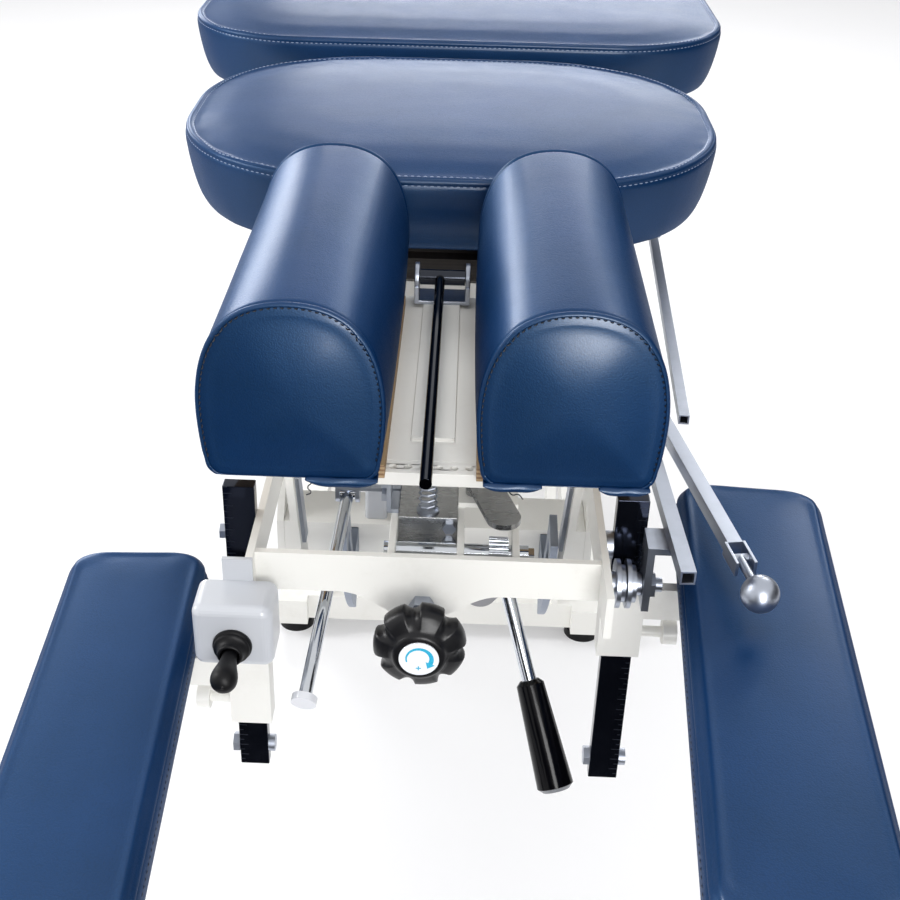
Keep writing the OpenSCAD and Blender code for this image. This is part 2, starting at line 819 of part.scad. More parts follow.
module head_hardware() color("silver") lifted() {
    difference() {
        hex_y(front_bar_y - nut_t, nut_t, knob_x, knob_z, nut_w);
        rod_y(front_bar_y - nut_t - over, front_bar_y + over, knob_x, knob_z, screw_d + 2 * play);
    }
    for (z = [small_upper_z, small_lower_z]) hex_y(block_y - small_head_t, small_head_t, small_head_x, z,
        small_head_w);
    box([bolt_plate_x, bolt_plate_y, cheek_top], [bolt_plate_x + bolt_plate_t, bolt_plate_y
        + bolt_plate_l, bolt_plate_top]);
    box([bolt_plate_x, bolt_plate_y, cheek_top], [cheek_left_x + bar_t / 2, bolt_plate_y + bolt_plate_l,
        cheek_top + bolt_plate_t]);
    for (z = [bolt_upper_z, bolt_lower_z]) hex_x(bolt_plate_x - bolt_head_t, bolt_head_t, bolt_y, z,
        bolt_head_w);
    fork_plate(release_x - release_d / 2 - fork_play - fork_t);
    fork_plate(release_x + release_d / 2 + fork_play);
    box([release_x - release_d / 2 - fork_play - fork_t, release_y - fork_w / 2, cheek_top],
        [cheek_left_x + bar_t / 2, release_y + fork_w / 2, cheek_top + fork_t]);
    lock_discs();
    for (x = [-rail_out - clear, rail_out + clear]) post_bolt(x);
    translate([spring_x, spring_y, block_top]) cylinder(h = washer_t, d = washer_d, $fn = 48);
    lever_bolt(rail_out, inner_far, inner_z, inner_bolt_d, bar_t);
    stop_bolt(post_x_left - post_w / 2);
    stop_bolt(post_x_right - post_w / 2);
    spacer();
}
spacer_d = 20;
module spacer() rod_x(rail_out, post_x_right - post_w / 2, post_y, post_bolt_z, spacer_d);
module post_bolt(x) hex_x(x > 0 ? post_x_right + post_w / 2 : post_x_left - post_w / 2 - bolt_head_t,
    bolt_head_t,
    post_y, post_bolt_z, bolt_head_w);
module stop_bolt(x) {
    hex_x(x - stop_t, stop_t, post_y, stop_z, stop_head_d);
    rod_x(x + post_w, x + post_w + stop_t, post_y, stop_z, stop_head_d);
}
module lock_discs() difference() {
    union() {
        rod_x(rail_out, strap_x, lock_y, lock_z, lock_bolt_d + 2 * tube_t);
        for (i = [0:stack_n - 1]) rod_x(stack_start + i * stack_pitch, stack_start + i * stack_pitch
            + stack_disc_t,
            lock_y, lock_z, i % 2 == 0 ? stack_d : stack_small_d);
    }
    rod_x(rail_out - over, strap_x + over, lock_y, lock_z, lock_bolt_d + 2 * play);
    box([strap_x - clear, lock_y - stack_d, lock_z - stack_d], [strap_x + over, lock_y + stack_d,
        lock_z + stack_d]);
}

module drop_spring() color("silver") lifted() translate([spring_x, spring_y, 0])
    polyhedron(concat(coil_points, [coil_at(0), coil_at(coil_steps)]), skin_faces(coil_sides,
        coil_steps + 1), 4);
module drop_hinge_shaft() color("silver") lifted() rod_x(-rail_out - clear, rail_out + clear, hinge_y,
    hinge_z, hinge_d);

// Drop platform, pressed from sheet
module drop_platform() color("whitesmoke") lifted() difference() {
    union() {
        box([-plate_w / 2, plate_y, plate_top - plate_t], [plate_w / 2, plate_end, plate_top]);
        pair() box([plate_w / 2 - plate_t, plate_y, plate_top - flange_h], [plate_w / 2, plate_end,
            plate_top]);
        box([-strip_half, strip_y, plate_top - plate_t], [strip_half, plate_y, plate_top]);
        box([-rib_w / 2, rib_start, plate_top], [rib_w / 2, plate_end, plate_top + rib_h]);
    }
    rod_x(-plate_w, plate_w, hinge_y, hinge_z, hinge_d + 2 * play);
}
module hole_bar() color("whitesmoke") lifted() difference() {
    box([-hole_bar_half, hole_bar_y, plate_top - hole_bar_h], [hole_bar_half, strip_y, plate_top]);
    for (i = [0:hole_n - 1]) rod_z(plate_top - hole_bar_h - over, plate_top + over,
        hole_pitch * (i - (hole_n - 1) / 2), (hole_bar_y + strip_y) / 2, hole_d);
}
module face_boards() color("burlywood") lifted() pair()
    box([face_gap / 2 + board_gap, board_set, plate_top], [face_gap / 2 + face_w - board_gap - face_tuck,
        face_l - board_set, 0]);

// Paper bar and its two clamps
module clamp_ear(x) difference() {
    union() {
        box([x, clamp_y, plate_top + rib_h], [x + ear_t, clamp_y + clamp_l, paper_z - clamp_t]);
        rod_x(x, x + ear_t, paper_y, paper_z, ear_h);
    }
    rod_x(x - over, x + ear_t + over, paper_y, paper_z, paper_pin_d + 2 * play);
    box([x - over, clamp_y - ear_h, -paper_z - ear_h], [x + ear_t + over, clamp_y + 2 * ear_h,
        plate_top + rib_h]);
}
module paper_clamps() color("silver") lifted() {
    pair() difference() {
        clamp_ear(paper_ear_half - ear_t);
        box([paper_ear_half - ear_t - over, clamp_y - ear_h, plate_top], [paper_ear_half + over,
            plate_end + ear_h, plate_top + rib_h]);
    }
    box([-paper_ear_half, clamp_y, plate_top + rib_h], [paper_ear_half, clamp_y + clamp_l, plate_top
        + rib_h + clamp_t - over]);
}
module paper_bar() color("silver") lifted() {
    rod_x(ear_t + clear - paper_ear_half, paper_ear_half - ear_t - clear, paper_y, paper_z, paper_cross_d);
    rod_x(-paper_ear_half, paper_ear_half, paper_y, paper_z, paper_pin_d);
    rod_y(paper_end, paper_y, spring_x, paper_z, paper_rod_d);
}

// Tension knob
module tension_knob() color("black") lifted() difference() {
    union() {
        rod_y(knob_front + knob_face_t, knob_back, knob_x, knob_z, knob_web_d, 96);
        for (i = [0:knob_n - 1]) let (a = 360 * i / knob_n + 90)
            rod_y(knob_front + knob_face_t, knob_back, knob_x + (knob_d - knob_lobe_d) / 2 * cos(a),
                knob_z + (knob_d - knob_lobe_d) / 2 * sin(a), knob_lobe_d);
        rod_y(knob_front, knob_back, knob_x, knob_z, knob_face_d, 96);
        rod_y(knob_back - over, knob_back + hub_l - over, knob_x, knob_z, hub_d);
    }
    rod_y(knob_back - hub_l, knob_back + hub_l, knob_x, knob_z, screw_d);
    for (i = [0:knob_n - 1]) let (a = 360 * (i + 0.5) / knob_n + 90)
        rod_y(knob_front - over, knob_back + over, knob_x + knob_d / 2 * cos(a), knob_z + knob_d / 2
            * sin(a), knob_lobe_d * 0.7);
}
module knob_disc() color("white") lifted()
    rod_y(knob_front - knob_disc_t, knob_front, knob_x, knob_z, knob_disc_d, 96);
module knob_shaft() color("silver") lifted() rod_y(knob_back - hub_l, screw_end, knob_x, knob_z, screw_d);

// Cocking lever: cross shaft, toothed hub, rod and tapered grip
module lever_line() translate([cocking_hub_x + cocking_hub_l / 2, cocking_y, cocking_z])
    rotate([0, 0, cocking_swing]) rotate([cocking_fall - 90, 0, 0]) children();
module cocking_lever() color("silver") lifted() {
    rod_x(cocking_start, cocking_end, cocking_y, cocking_z, cocking_d);
    rod_x(cocking_hub_x, cocking_hub_x + cocking_hub_l, cocking_y, cocking_z, cocking_hub_d - tooth_d);
    for (i = [0:teeth_n - 1]) let (a = 360 * i / teeth_n)
        rod_x(cocking_hub_x, cocking_hub_x + cocking_hub_l, cocking_y + (cocking_hub_d - tooth_d) / 2
            * cos(a),
            cocking_z + (cocking_hub_d - tooth_d) / 2 * sin(a), tooth_d, 16);
    hex_x(cocking_end, bolt_head_t, cocking_y, cocking_z, bolt_head_w);
    lever_line() translate([0, 0, -cocking_rod_l]) cylinder(h = cocking_rod_l - cocking_d / 2,
        d = lever_d, $fn = 48);
}
module cocking_grip() color("black") lifted() lever_line() difference() {
    translate([0, 0, -grip_root]) rotate_extrude($fn = 72) polygon([[0, 0], [grip_small / 2 - grip_neck, 0],
        [grip_small / 2, -grip_neck], [grip_d / 2, -grip_l + grip_neck], [grip_d / 2 - grip_neck,
            -grip_l], [0, -grip_l]]);
    translate([0, 0, -cocking_rod_l]) cylinder(h = cocking_rod_l, d = lever_d, $fn = 48);
}

module tongue_lever() color("silver") lifted() translate([tongue_x, tongue_y, 0]) rotate([0, 0,
    tongue_turn]) {
    box([-tongue_w / 2, -tongue_reach, tongue_z], [tongue_w / 2, 0, tongue_z + tongue_t]);
    for (y = [-tongue_reach, 0]) translate([0, y, tongue_z]) cylinder(h = tongue_t, d = tongue_w, $fn = 72);
    rod_z(cheek_top - bridge_t, tongue_z, 0, 0, tongue_pin_d);
    rod_z(cheek_top + bridge_t + clear, tongue_z, 0, 0, tongue_pin_d + 2 * tube_t);
}

// Release rod with its disc
module release_line() translate([release_x, release_y, release_z]) rotate([0, 0, -release_swing])
    rotate([release_fall, 0, 0]) children();
module release_rod() color("silver") lifted() {
    release_line() rod_y(-release_l, 0, 0, 0, release_d);
    rod_x(release_x - release_d / 2 - fork_play - fork_t, release_x + release_d / 2 + fork_play + fork_t,
        release_y, release_z,
        release_pin_d);
    rod_x(release_x - release_d / 2 - knuckle_side, release_x + release_d / 2 + knuckle_side,
        release_y, release_z, release_knuckle);
}
module release_button() color("white") lifted() release_line() rod_y(-release_l - disc_t, -release_l, 0,
    0, disc_d);

// Switch box on the end of the left rail
switch_bottom = switch_top - switch_h;
switch_back = left_rail_y - box_plate_t;
module switch_box() color("whitesmoke") lifted() difference() {
    union() {
        hull() for (x = [switch_x - switch_w / 2 + switch_r, switch_x + switch_w / 2 - switch_r],
                z = [switch_bottom + switch_r, switch_top - switch_r]) {
            translate([x, switch_back - switch_t + switch_r, z]) sphere(r = switch_r, $fn = 24);
            rod_y(switch_back - switch_r, switch_back, x, z, 2 * switch_r, 24);
        }
        box([-rail_out - box_plate_h / 2, switch_back, frame_bottom], [-rail_in, left_rail_y, frame_top]);
    }
    rod_y(switch_back - switch_t - over, switch_back - switch_t / 2, switch_x, boot_z, stick_neck_d + 2
        * tube_t);
    rod_x(switch_x - stick_pin_l / 2 - clear, switch_x + stick_pin_l / 2 + clear,
        switch_front + stick_pivot, stick_z, stick_pin_d + 2 * play, 48);
}
switch_front = switch_back - switch_t;
module switch_boot() color("black") lifted() difference() {
    union() {
        rod_y(switch_front - boot_l / 3, switch_front, switch_x, boot_z, boot_d);
        translate([switch_x, switch_front - boot_l / 3, boot_z]) rotate([90, 0, 0])
            cylinder(h = 2 * boot_l / 3, d1 = boot_d, d2 = stick_neck_d + 2 * tube_t, $fn = 64);
    }
    rod_y(switch_front - boot_l - over, switch_front + over, switch_x, boot_z, stick_neck_d + 2
        * stick_room);
}
module switch_lever() color("black") lifted() translate([switch_x, switch_front, stick_z]) rotate([90, 0,
    0]) {
    translate([0, 0, -stick_pivot]) cylinder(h = stick_pivot + stick_l, d = stick_neck_d, $fn = 48);
    translate([0, 0, -stick_pivot]) sphere(d = stick_seat_d - 2 * play, $fn = 64);
    translate([-stick_pin_l / 2, 0, -stick_pivot]) rotate([0, 90, 0]) cylinder(h = stick_pin_l,
        d = stick_pin_d, $fn = 48);
    translate([0, 0, stick_l]) rotate_extrude($fn = 64) polygon([[0, -stick_bulb_d], [stick_neck_d / 2,
        -stick_bulb_d],
        [stick_bulb_d / 2 - over, -stick_neck_d / 2], [stick_bulb_d / 2, 0], [stick_bulb_d / 2 - over,
            stick_neck_d / 2],
        [stick_neck_d / 2, stick_ball], [0, stick_ball + over]]);
}

// Arm posts, sleeves and pads
module post(x) difference() {
    box([x - post_w / 2, post_y - post_t / 2, post_top - post_l], [x + post_w / 2, post_y + post_t / 2,
        post_top]);
}
module arm_posts() color("dimgray") lifted() {
    post(post_x_left);
    post(post_x_right);
}
sleeve_half_x = post_w / 2 + clear + sleeve_wall;
sleeve_half_y = post_t / 2 + clear + sleeve_wall;
// Drawn for the right side, with the post at the origin
module sleeve(reach) difference() {
    union() {
        box([-sleeve_half_x, -sleeve_half_y, -sleeve_h], [sleeve_half_x, sleeve_half_y, 0]);
        box([sleeve_half_x, -arm_bar_t / 2, -arm_top_gap - arm_h], [reach, arm_bar_t / 2, -arm_top_gap]);
        box([reach - flange_w, -flange_w / 2, -arm_top_gap - flange_t], [reach + flange_end,
            flange_w / 2, -arm_top_gap]);
        rod_x(sleeve_half_x, sleeve_half_x + clamp_screw_l, 0, -clamp_knob_z, clamp_screw_d);
        rod_x(sleeve_half_x + clamp_screw_l, sleeve_half_x + clamp_screw_l + clamp_knob_l, 0,
            -clamp_knob_z, clamp_knob_d);
    }
    box([-post_w / 2 - clear, -post_t / 2 - clear, -sleeve_h - over], [post_w / 2 + clear, post_t / 2
        + clear, over]);
    rod_z(-arm_top_gap - arm_h - over, -arm_top_gap + over, reach, 0, pin_d + 2 * play);
    rod_z(-arm_top_gap - arm_h - over, -arm_top_gap - flange_t, reach, 0, pin_head_d + 2 * over);
}
module right_sleeve() color("whitesmoke") lifted() translate([post_x_right, post_y, sleeve_top])
    sleeve(swivel_right - post_x_right);
module left_sleeve() color("whitesmoke") lifted() translate([post_x_left, post_y, sleeve_top - pad_drop])
    mirror([1, 0, 0]) sleeve(swivel_left + post_x_left);
plate_low = sleeve_top - arm_top_gap + clear;
module pad_plate() {
    translate([0, pad_plate_back - pad_plate_l / 2, plate_low]) linear_extrude(pad_plate_t)
        rounded_plate(pad_plate_w, pad_plate_l, pad_r / 2);
    rod_z(plate_low - clear - flange_t - clear, plate_low, 0, 0, pin_d);
    rod_z(plate_low - 2 * clear - flange_t - pin_head_t, plate_low - 2 * clear - flange_t, 0, 0,
        pin_head_d);
}
module on_right() lifted() translate([swivel_right, post_y, 0]) rotate([0, 0, -pad_turn_right]) children();
module on_left() lifted() translate([-swivel_left, post_y, -pad_drop]) rotate([0, 0, pad_turn_left])
    children();
module right_pad_plate() color("dimgray") on_right() pad_plate();
module left_pad_plate() color("dimgray") on_left() pad_plate();
module arm_pad() translate([0, pad_back - pad_l / 2, plate_low + pad_plate_t])
    body_cushion(pad_w, pad_l, pad_r, pad_side, pad_crown, side_tuck / 3, pad_outline_n);
module right_arm_pad() color("midnightblue") on_right() arm_pad();
module left_arm_pad() color("midnightblue") on_left() arm_pad();

// Tilt lock lever: bolt, bent strap and a square tube on top of it
module square_tube(near, far, z, s) {
    l = norm(far - near);
    translate([near[0], near[1], z]) rotate([0, 0, atan2(near[0] - far[0], far[1] - near[1])])
        difference() {
        box([-s / 2, 0, -s / 2], [s / 2, l, s / 2]);
        box([tube_wall - s / 2, -over, tube_wall - s / 2], [s / 2 - tube_wall, l + over,
            s / 2 - tube_wall]);
    }
}
strap_top = lock_tube_z - square_d / 2;
module tilt_lock_lever() color("silver") lifted() {
    difference() {
        box([strap_x, lock_y - strap_w / 2, strap_low], [strap_x + strap_t, lock_y + strap_w / 2,
            strap_top]);
        rod_x(strap_x - over, strap_x + strap_t + over, lock_y, lock_z, lock_bolt_d);
    }
    box([strap_x + strap_t, lock_y - strap_w / 2, strap_top - strap_t], [strap_x + strap_out, lock_y
        + strap_w / 2, strap_top]);
    rod_x(rail_out + clear, lock_bolt_end, lock_y, lock_z, lock_bolt_d);
    hex_x(strap_x + strap_t, bolt_head_t, lock_y, lock_z, bolt_head_d);
    square_tube(lock_tube_near, lock_tube_far, lock_tube_z, square_d);
}

// Side levers
module lever_end(p, z, s, bolt) translate([p[0], p[1], z]) rotate([0, 90, 0]) cylinder(h = s, d = bolt,
    center = true, $fn = 48);
module inner_side_lever() color("silver") lifted() {
    difference() {
        union() {
            difference() {
                square_tube(inner_near, inner_far, inner_z, square_d);
                lever_end(inner_far, inner_z, 3 * inner_boss, 2 * inner_boss);
            }
            lever_end(inner_far, inner_z, inner_boss, 2 * inner_boss);
        }
        lever_end(inner_far, inner_z, 4 * inner_boss, inner_bolt_d + 2 * play);
        rod_x(inner_far[0] + inner_boss / 2, inner_far[0] + 3 * inner_boss, inner_far[1], inner_z,
            head_room);
    }
    translate([inner_near[0], inner_near[1], inner_z])
        rotate([0, 0, atan2(inner_near[0] - inner_far[0], inner_far[1] - inner_near[1])]) {
        box([-fork_side / 2, -fork_l, -square_d / 2], [-square_d / 2, 0, square_d / 2]);
        box([square_d / 2, -fork_l, -square_d / 2], [fork_side / 2, 0, square_d / 2]);
        box([-fork_side / 2, -over, -square_d / 2], [fork_side / 2, 0, square_d / 2]);
        rod_x(-fork_side / 2, fork_side / 2, -fork_l / 2, 0, knob_rod_d);
        rod_y(-fork_l - knob_rod_l, -fork_l / 2, 0, 0, knob_rod_d);
        translate([0, -fork_l - knob_rod_l, 0]) sphere(d = ball_d, $fn = 48);
    }
}
module outer_side_lever() color("silver") lifted() difference() {
    union() {
        difference() {
            square_tube(outer_near, outer_far, outer_z, outer_side);
            lever_end(outer_far, outer_z, 3 * inner_boss, 2 * inner_boss);
        }
        lever_end(outer_far, outer_z, inner_boss, 2 * inner_boss);
    }
    lever_end(outer_far, outer_z, 4 * inner_boss, outer_bolt_d + 2 * play);
}
module lever_bolt(x, far, z, d, t) {
    rod_x(x, far[0] + inner_boss / 2 + clear, far[1], z, d);
    hex_x(far[0] + inner_boss / 2 + clear, bolt_head_t, far[1], z, bolt_head_d);
    rod_x(x + t, far[0] - inner_boss / 2 - clear, far[1], z, bolt_head_d);
}
module lever_bracket(x, far, z, d) {
    difference() {
        box([x, far[1] - bracket_w / 2, bracket_low], [x + bracket_t, far[1] + bracket_w / 2, bracket_top]);
        rod_x(x - over, x + bracket_t + over, far[1], z, d);
    }
    lever_bolt(x, far, z, d, bracket_t);
}
module lever_brackets() color("silver") lifted() lever_bracket(chassis_out, outer_far, outer_z,
    outer_bolt_d);

// Chassis
module chassis_rail() tube_box([chassis_in, chassis_y, chassis_bottom], [chassis_out, chassis_end,
    chassis_top], tube_t);
member_set = 30;
members = [act_pin_y, (chest_y + chest_l + hip_y) / 2, (hip_y + hip_l + leg_y) / 2,
    chassis_end - member_set];
module side_ear() side_plate(chassis_in - ear_plate_t, ear_plate_t) difference() {
    union() {
        polygon([[pivot_y, pivot_z + ear_r], [ear_end, pivot_z + ear_r], [ear_end, chassis_bottom],
            [channel_y + channel_d, channel_bottom], [channel_y, channel_bottom], [channel_y, channel_top],
            [pivot_y - ear_r, pivot_z]]);
        translate([pivot_y, pivot_z]) circle(r = ear_r, $fn = 64);
    }
    translate([pivot_y, pivot_z]) circle(d = pivot_d, $fn = 64);
}
module lug(y, z, top) side_plate(lug_in, lug_t) difference() {
    union() {
        polygon([[y - lug_w / 2, top], [y + lug_w / 2, top], [y + lug_r, z], [y - lug_r, z]]);
        translate([y, z]) circle(r = lug_r, $fn = 64);
    }
    translate([y, z]) circle(d = shaft_d, $fn = 64);
}
module hinge_bracket(y) difference() {
    box([chassis_out - hinge_ear_t, y - hinge_ear_l / 2, chassis_top], [chassis_out, y + hinge_ear_l / 2,
        hinge_ear_top]);
    rod_x(chassis_in, chassis_out + over, y, body_hinge_z, hinge_shaft_d);
}
board_low = body_rise - board_t;
body_hinge_z = board_low - frame_bar_h / 2;
module stop_pad(y) rod_z(chassis_top, chassis_top + stop_pad_h, chassis_x, y, stop_pad_d);
module hanger(x) side_plate(x, hanger_t) difference() {
    polygon([[act_pin_y - hanger_w / 2, chassis_bottom + member_h / 3], [act_pin_y + hanger_w / 2,
        chassis_bottom + member_h / 3],
        [act_pin_y + act_lug_r, act_z - act_lug_r], [act_pin_y - act_lug_r, act_z - act_lug_r]]);
    translate([act_pin_y, act_z]) circle(d = act_pin_d, $fn = 48);
}
module chassis_frame() color("whitesmoke") {
    lifted() {
        pair() chassis_rail();
        for (y = members) tube_box([-chassis_in, y - member_w / 2, chassis_bottom], [chassis_in, y
            + member_w / 2, chassis_bottom + member_h], tube_t);
        pair() side_ear();
        pair() hinge_bracket(chest_y + chest_l - hinge_set);
        pair() hinge_bracket(hip_y + hip_l - hinge_set);
        pair() stop_pad(chest_y + stop_pad_y);
        pair() stop_pad(hip_y + stop_pad_y);
        difference() {
            union() {
                hanger(act_x - act_lug_half - clear - hanger_t);
                hanger(act_x + act_lug_half + clear);
            }
            box([act_x - hanger_w, act_pin_y - member_w / 2, chassis_bottom], [act_x + hanger_w,
                act_pin_y + member_w / 2, chassis_top]);
        }
    }
    for (y = [high_y, high_y + pivot_gap]) pair() lug(y, high_z, cushion_line + chassis_bottom);
}
module lug_shaft(y, z) rod_x(-lug_in - lug_t - shaft_over, lug_in + lug_t + shaft_over, y, z, shaft_d);
module upper_shafts() color("silver") for (y = [high_y, high_y + pivot_gap]) lug_shaft(y, high_z);
module lower_shafts() color("silver") for (y = [low_y, low_y + pivot_gap]) lug_shaft(y, low_z);
channel_half = chassis_in - ear_plate_t;
module front_channel() color("whitesmoke") lifted() difference() {
    box([-channel_half, channel_y, channel_bottom], [channel_half, channel_y + channel_d, channel_top]);
    box([-channel_half - over, channel_y + channel_t, channel_bottom + channel_t],
        [channel_half + over, channel_y + channel_d + over, channel_top - channel_t]);
    for (x = [quad_left_x, quad_right_x]) box([x - quad_t / 2, channel_y - over, channel_bottom
        + channel_t],
        [x + quad_t / 2, channel_y + channel_t + over, channel_top - channel_t]);
    box([-notch_half, channel_y - over, channel_top - channel_t - over], [notch_half, channel_y
        + notch_l, channel_top + over]);
}
module relay_housing() color("whitesmoke") lifted() hull()
    for (x = [housing_x + housing_r, housing_x + housing_w - housing_r], y = [housing_y + housing_r,
        housing_y + housing_l - housing_r]) {
        rod_z(channel_top, channel_top + housing_h - housing_r, x, y, 2 * housing_r, 24);
        translate([x, y, channel_top + housing_h - housing_r]) sphere(r = housing_r, $fn = 24);
    }
collar_d = 22;
module head_pivot_shaft() color("silver") lifted() {
    rod_x(-chassis_in - shaft_over, chassis_in + shaft_over, pivot_y, pivot_z, pivot_d);
    pair() rod_x(rail_out + clear, channel_half, pivot_y, pivot_z, collar_d);
}

// Drop frames under the body cushions
module drop_frame(y, l, w, r) {
    hinge = y + l - hinge_set;
    inner = cushion_board_in;
    side = chassis_out - hinge_ear_t - clear;
    translate([0, y + l / 2, board_low]) linear_extrude(board_t) rounded_plate(w - 2 * side_tuck - inner,
        l - 2 * side_tuck - inner, r - side_tuck - inner / 2);
    difference() {
        union() {
            pair() box([side - frame_bar_w, y + hinge_set, board_low - frame_bar_h], [side, hinge
                + hinge_shaft_d, board_low]);
            box([-side + frame_bar_w, y + hinge_set, board_low - frame_bar_h], [side - frame_bar_w, y
                + hinge_set + frame_bar_w, board_low]);
            box([-side + frame_bar_w, hinge - 2 * frame_bar_w, board_low - frame_bar_h],
                [side - frame_bar_w, hinge - frame_bar_w, board_low]);
        }
        rod_x(-chassis_out, chassis_out, hinge, body_hinge_z, hinge_shaft_d + 2 * play);
    }
}
module chest_frame() color("dimgray") lifted() drop_frame(chest_y, chest_l, chest_w, chest_r);
module hip_frame() color("dimgray") lifted() drop_frame(hip_y, hip_l, hip_w, hip_r);
module leg_board() color("burlywood") lifted() {
    translate([0, leg_y + leg_l / 2, board_low]) linear_extrude(board_t)
        rounded_plate(leg_w - 2 * side_tuck - cushion_board_in, leg_l - 2 * side_tuck - cushion_board_in,
            leg_r - side_tuck - cushion_board_in / 2);
    pair() box([chassis_x - support_w / 2, leg_y + hinge_set, chassis_top], [chassis_x + support_w / 2,
        leg_y + leg_l - 2 * hinge_set, board_low]);
}

// Lift arms
module arm_bar(y) side_plate(chassis_x - arm_t / 2, arm_t) difference() {
    translate([y, low_z]) rotate(arm_angle) union() {
        translate([0, -arm_w / 2]) square([arm_l, arm_w]);
        circle(d = arm_w, $fn = 64);
        translate([arm_l, 0]) circle(d = arm_w, $fn = 64);
    }
    translate([y, low_z]) circle(d = shaft_d + 2 * play, $fn = 64);
    translate([y + high_y - low_y, high_z]) circle(d = shaft_d + 2 * (y > low_y ? open_play : play),
        $fn = 64);
}
module torque_tube(y, z) difference() {
    rod_x(-chassis_x + arm_t / 2, chassis_x - arm_t / 2, y, z, torque_d);
    rod_x(-chassis_x, chassis_x, y, z, shaft_d + 2 * play);
}
crank_at = [high_y + crank_l * sin(crank_turn), high_z - crank_l * cos(crank_turn)];
module crank_plate(x) side_plate(x, crank_t) difference() {
    union() {
        translate([high_y, high_z]) rotate(crank_turn - 90) translate([0, -crank_r]) square([crank_l, 2
            * crank_r]);
        translate(crank_at) circle(r = crank_r, $fn = 64);
    }
    translate([high_y, high_z]) circle(d = torque_d, $fn = 64);
}
module front_lift_arm() color("whitesmoke") {
    pair() arm_bar(low_y);
    torque_tube(low_y, low_z);
    torque_tube(high_y, high_z);
    crank_plate(act_x - eye_t / 2 - clear - crank_t);
    crank_plate(act_x + eye_t / 2 + clear);
    rod_x(act_x - eye_t / 2 - clear - crank_t - shaft_over, act_x + eye_t / 2 + clear + crank_t
        + shaft_over, crank_at[0], crank_at[1], crank_pin_d);
}
module rear_lift_arm() color("whitesmoke") {
    pair() arm_bar(low_y + pivot_gap);
    torque_tube(low_y + pivot_gap, low_z);
}

// Actuator
module actuator_housing() color("lightgray") lifted() difference() {
    union() {
        hull() for (x = [act_x - gear_half + gear_r, act_x + gear_half - gear_r], z = [gear_top - gear_r,
            gear_bottom + gear_r])
            rod_y(gear_y, gear_y + gear_l, x, z, 2 * gear_r, 32);
        rod_y(gear_y, outer_tube_end, act_x, act_z, outer_tube_d);
        box([act_x - act_lug_half, act_pin_y, act_z - act_lug_r], [act_x + act_lug_half, gear_y + over,
            act_z + act_lug_r]);
        rod_x(act_x - act_lug_half, act_x + act_lug_half, act_pin_y, act_z, 2 * act_lug_r);
        rod_x(act_x - act_lug_half - hanger_t - clear, act_x + act_lug_half + hanger_t + clear,
            act_pin_y, act_z, act_pin_d);
    }
    rod_y(bore_start, outer_tube_end + over, act_x, act_z, rod_d + 2 * play);
}
module actuator_motor() color("lightgray") lifted() {
    rod_y(motor_y + motor_nose, gear_y, act_x, motor_z, motor_d);
    translate([act_x, motor_y + motor_nose, motor_z]) rotate([90, 0, 0])
        cylinder(h = motor_nose, d1 = motor_d, d2 = motor_d - motor_nose, $fn = 64);
}
eye_y = crank_at[0] + head_end;
eye_z = act_z;
module actuator_rod() color("silver") lifted() difference() {
    union() {
        rod_y(rod_start, eye_y - eye_l / 2, act_x, act_z, rod_d);
        box([act_x - eye_t / 2, eye_y - eye_l / 2, eye_z - eye_h / 2], [act_x + eye_t / 2, eye_y
            + eye_l / 2, eye_z + eye_h / 2]);
    }
    box([act_x - rod_d, eye_y - crank_pin_d / 2 - eye_play, eye_z - eye_rise], [act_x + rod_d, eye_y
        + crank_pin_d / 2 + eye_play, eye_z + eye_rise]);
    for (z = [eye_z - eye_rise, eye_z + eye_rise]) rod_x(act_x - rod_d, act_x + rod_d, eye_y, z,
        crank_pin_d + 2 * eye_play);
}

// Base
module base_lug(y) side_plate(lug_in, lug_t) difference() {
    union() {
        polygon([[y - cross_w, foot_h + base_tube], [y + cross_w, foot_h + base_tube], [y + lug_r,
            low_z], [y - lug_r, low_z]]);
        translate([y, low_z]) circle(r = lug_r, $fn = 64);
    }
    translate([y, low_z]) circle(d = shaft_d, $fn = 64);
}
module base_frame() color("whitesmoke") {
    pair() tube_box([base_x - base_tube / 2, base_y, foot_h], [base_x + base_tube / 2, base_y + base_l,
        foot_h + base_tube], tube_t);
    for (y = [low_y, low_y + pivot_gap]) {
        tube_box([-base_x + base_tube / 2, y - cross_w, foot_h], [base_x - base_tube / 2, y + cross_w,
            foot_h + base_tube], tube_t);
        pair() base_lug(y);
    }
    box([-base_x - base_tube / 2, tray_y, foot_h + base_tube], [base_x + base_tube / 2, tray_y + tray_l,
        foot_h + base_tube + tray_t]);
}
module foot_at(x, y) {
    translate([x, y, 0]) cylinder(h = foot_h / 2, d = foot_d, $fn = 64);
    translate([x, y, foot_h / 2]) cylinder(h = foot_h / 2, d1 = foot_d, d2 = base_foot_neck, $fn = 64);
}
module base_feet() color("black") for (y = [base_foot_y, base_foot_far]) pair() foot_at(base_x, y);
tray_top = foot_h + base_tube + tray_t;
module power_box() color("dimgray") difference() {
    union() {
        translate([0, tray_y + tray_l / 2, tray_top]) linear_extrude(power_h) rounded_plate(power_w,
            power_l, power_r);
        box([-inlet_w / 2, tray_y + (tray_l + power_l) / 2 - over, tray_top + power_h / 3], [inlet_w / 2,
            tray_y + (tray_l + power_l) / 2 + inlet_t, tray_top + power_h / 3 + inlet_h]);
    }
    box([inlet_t - inlet_w / 2, tray_y + (tray_l + power_l) / 2 - inlet_h / 2, tray_top + power_h / 3
        + inlet_t],
        [inlet_w / 2 - inlet_t, tray_y + (tray_l + power_l) / 2 + inlet_t + over, tray_top
            + power_h / 3 + inlet_h - inlet_t]);
}

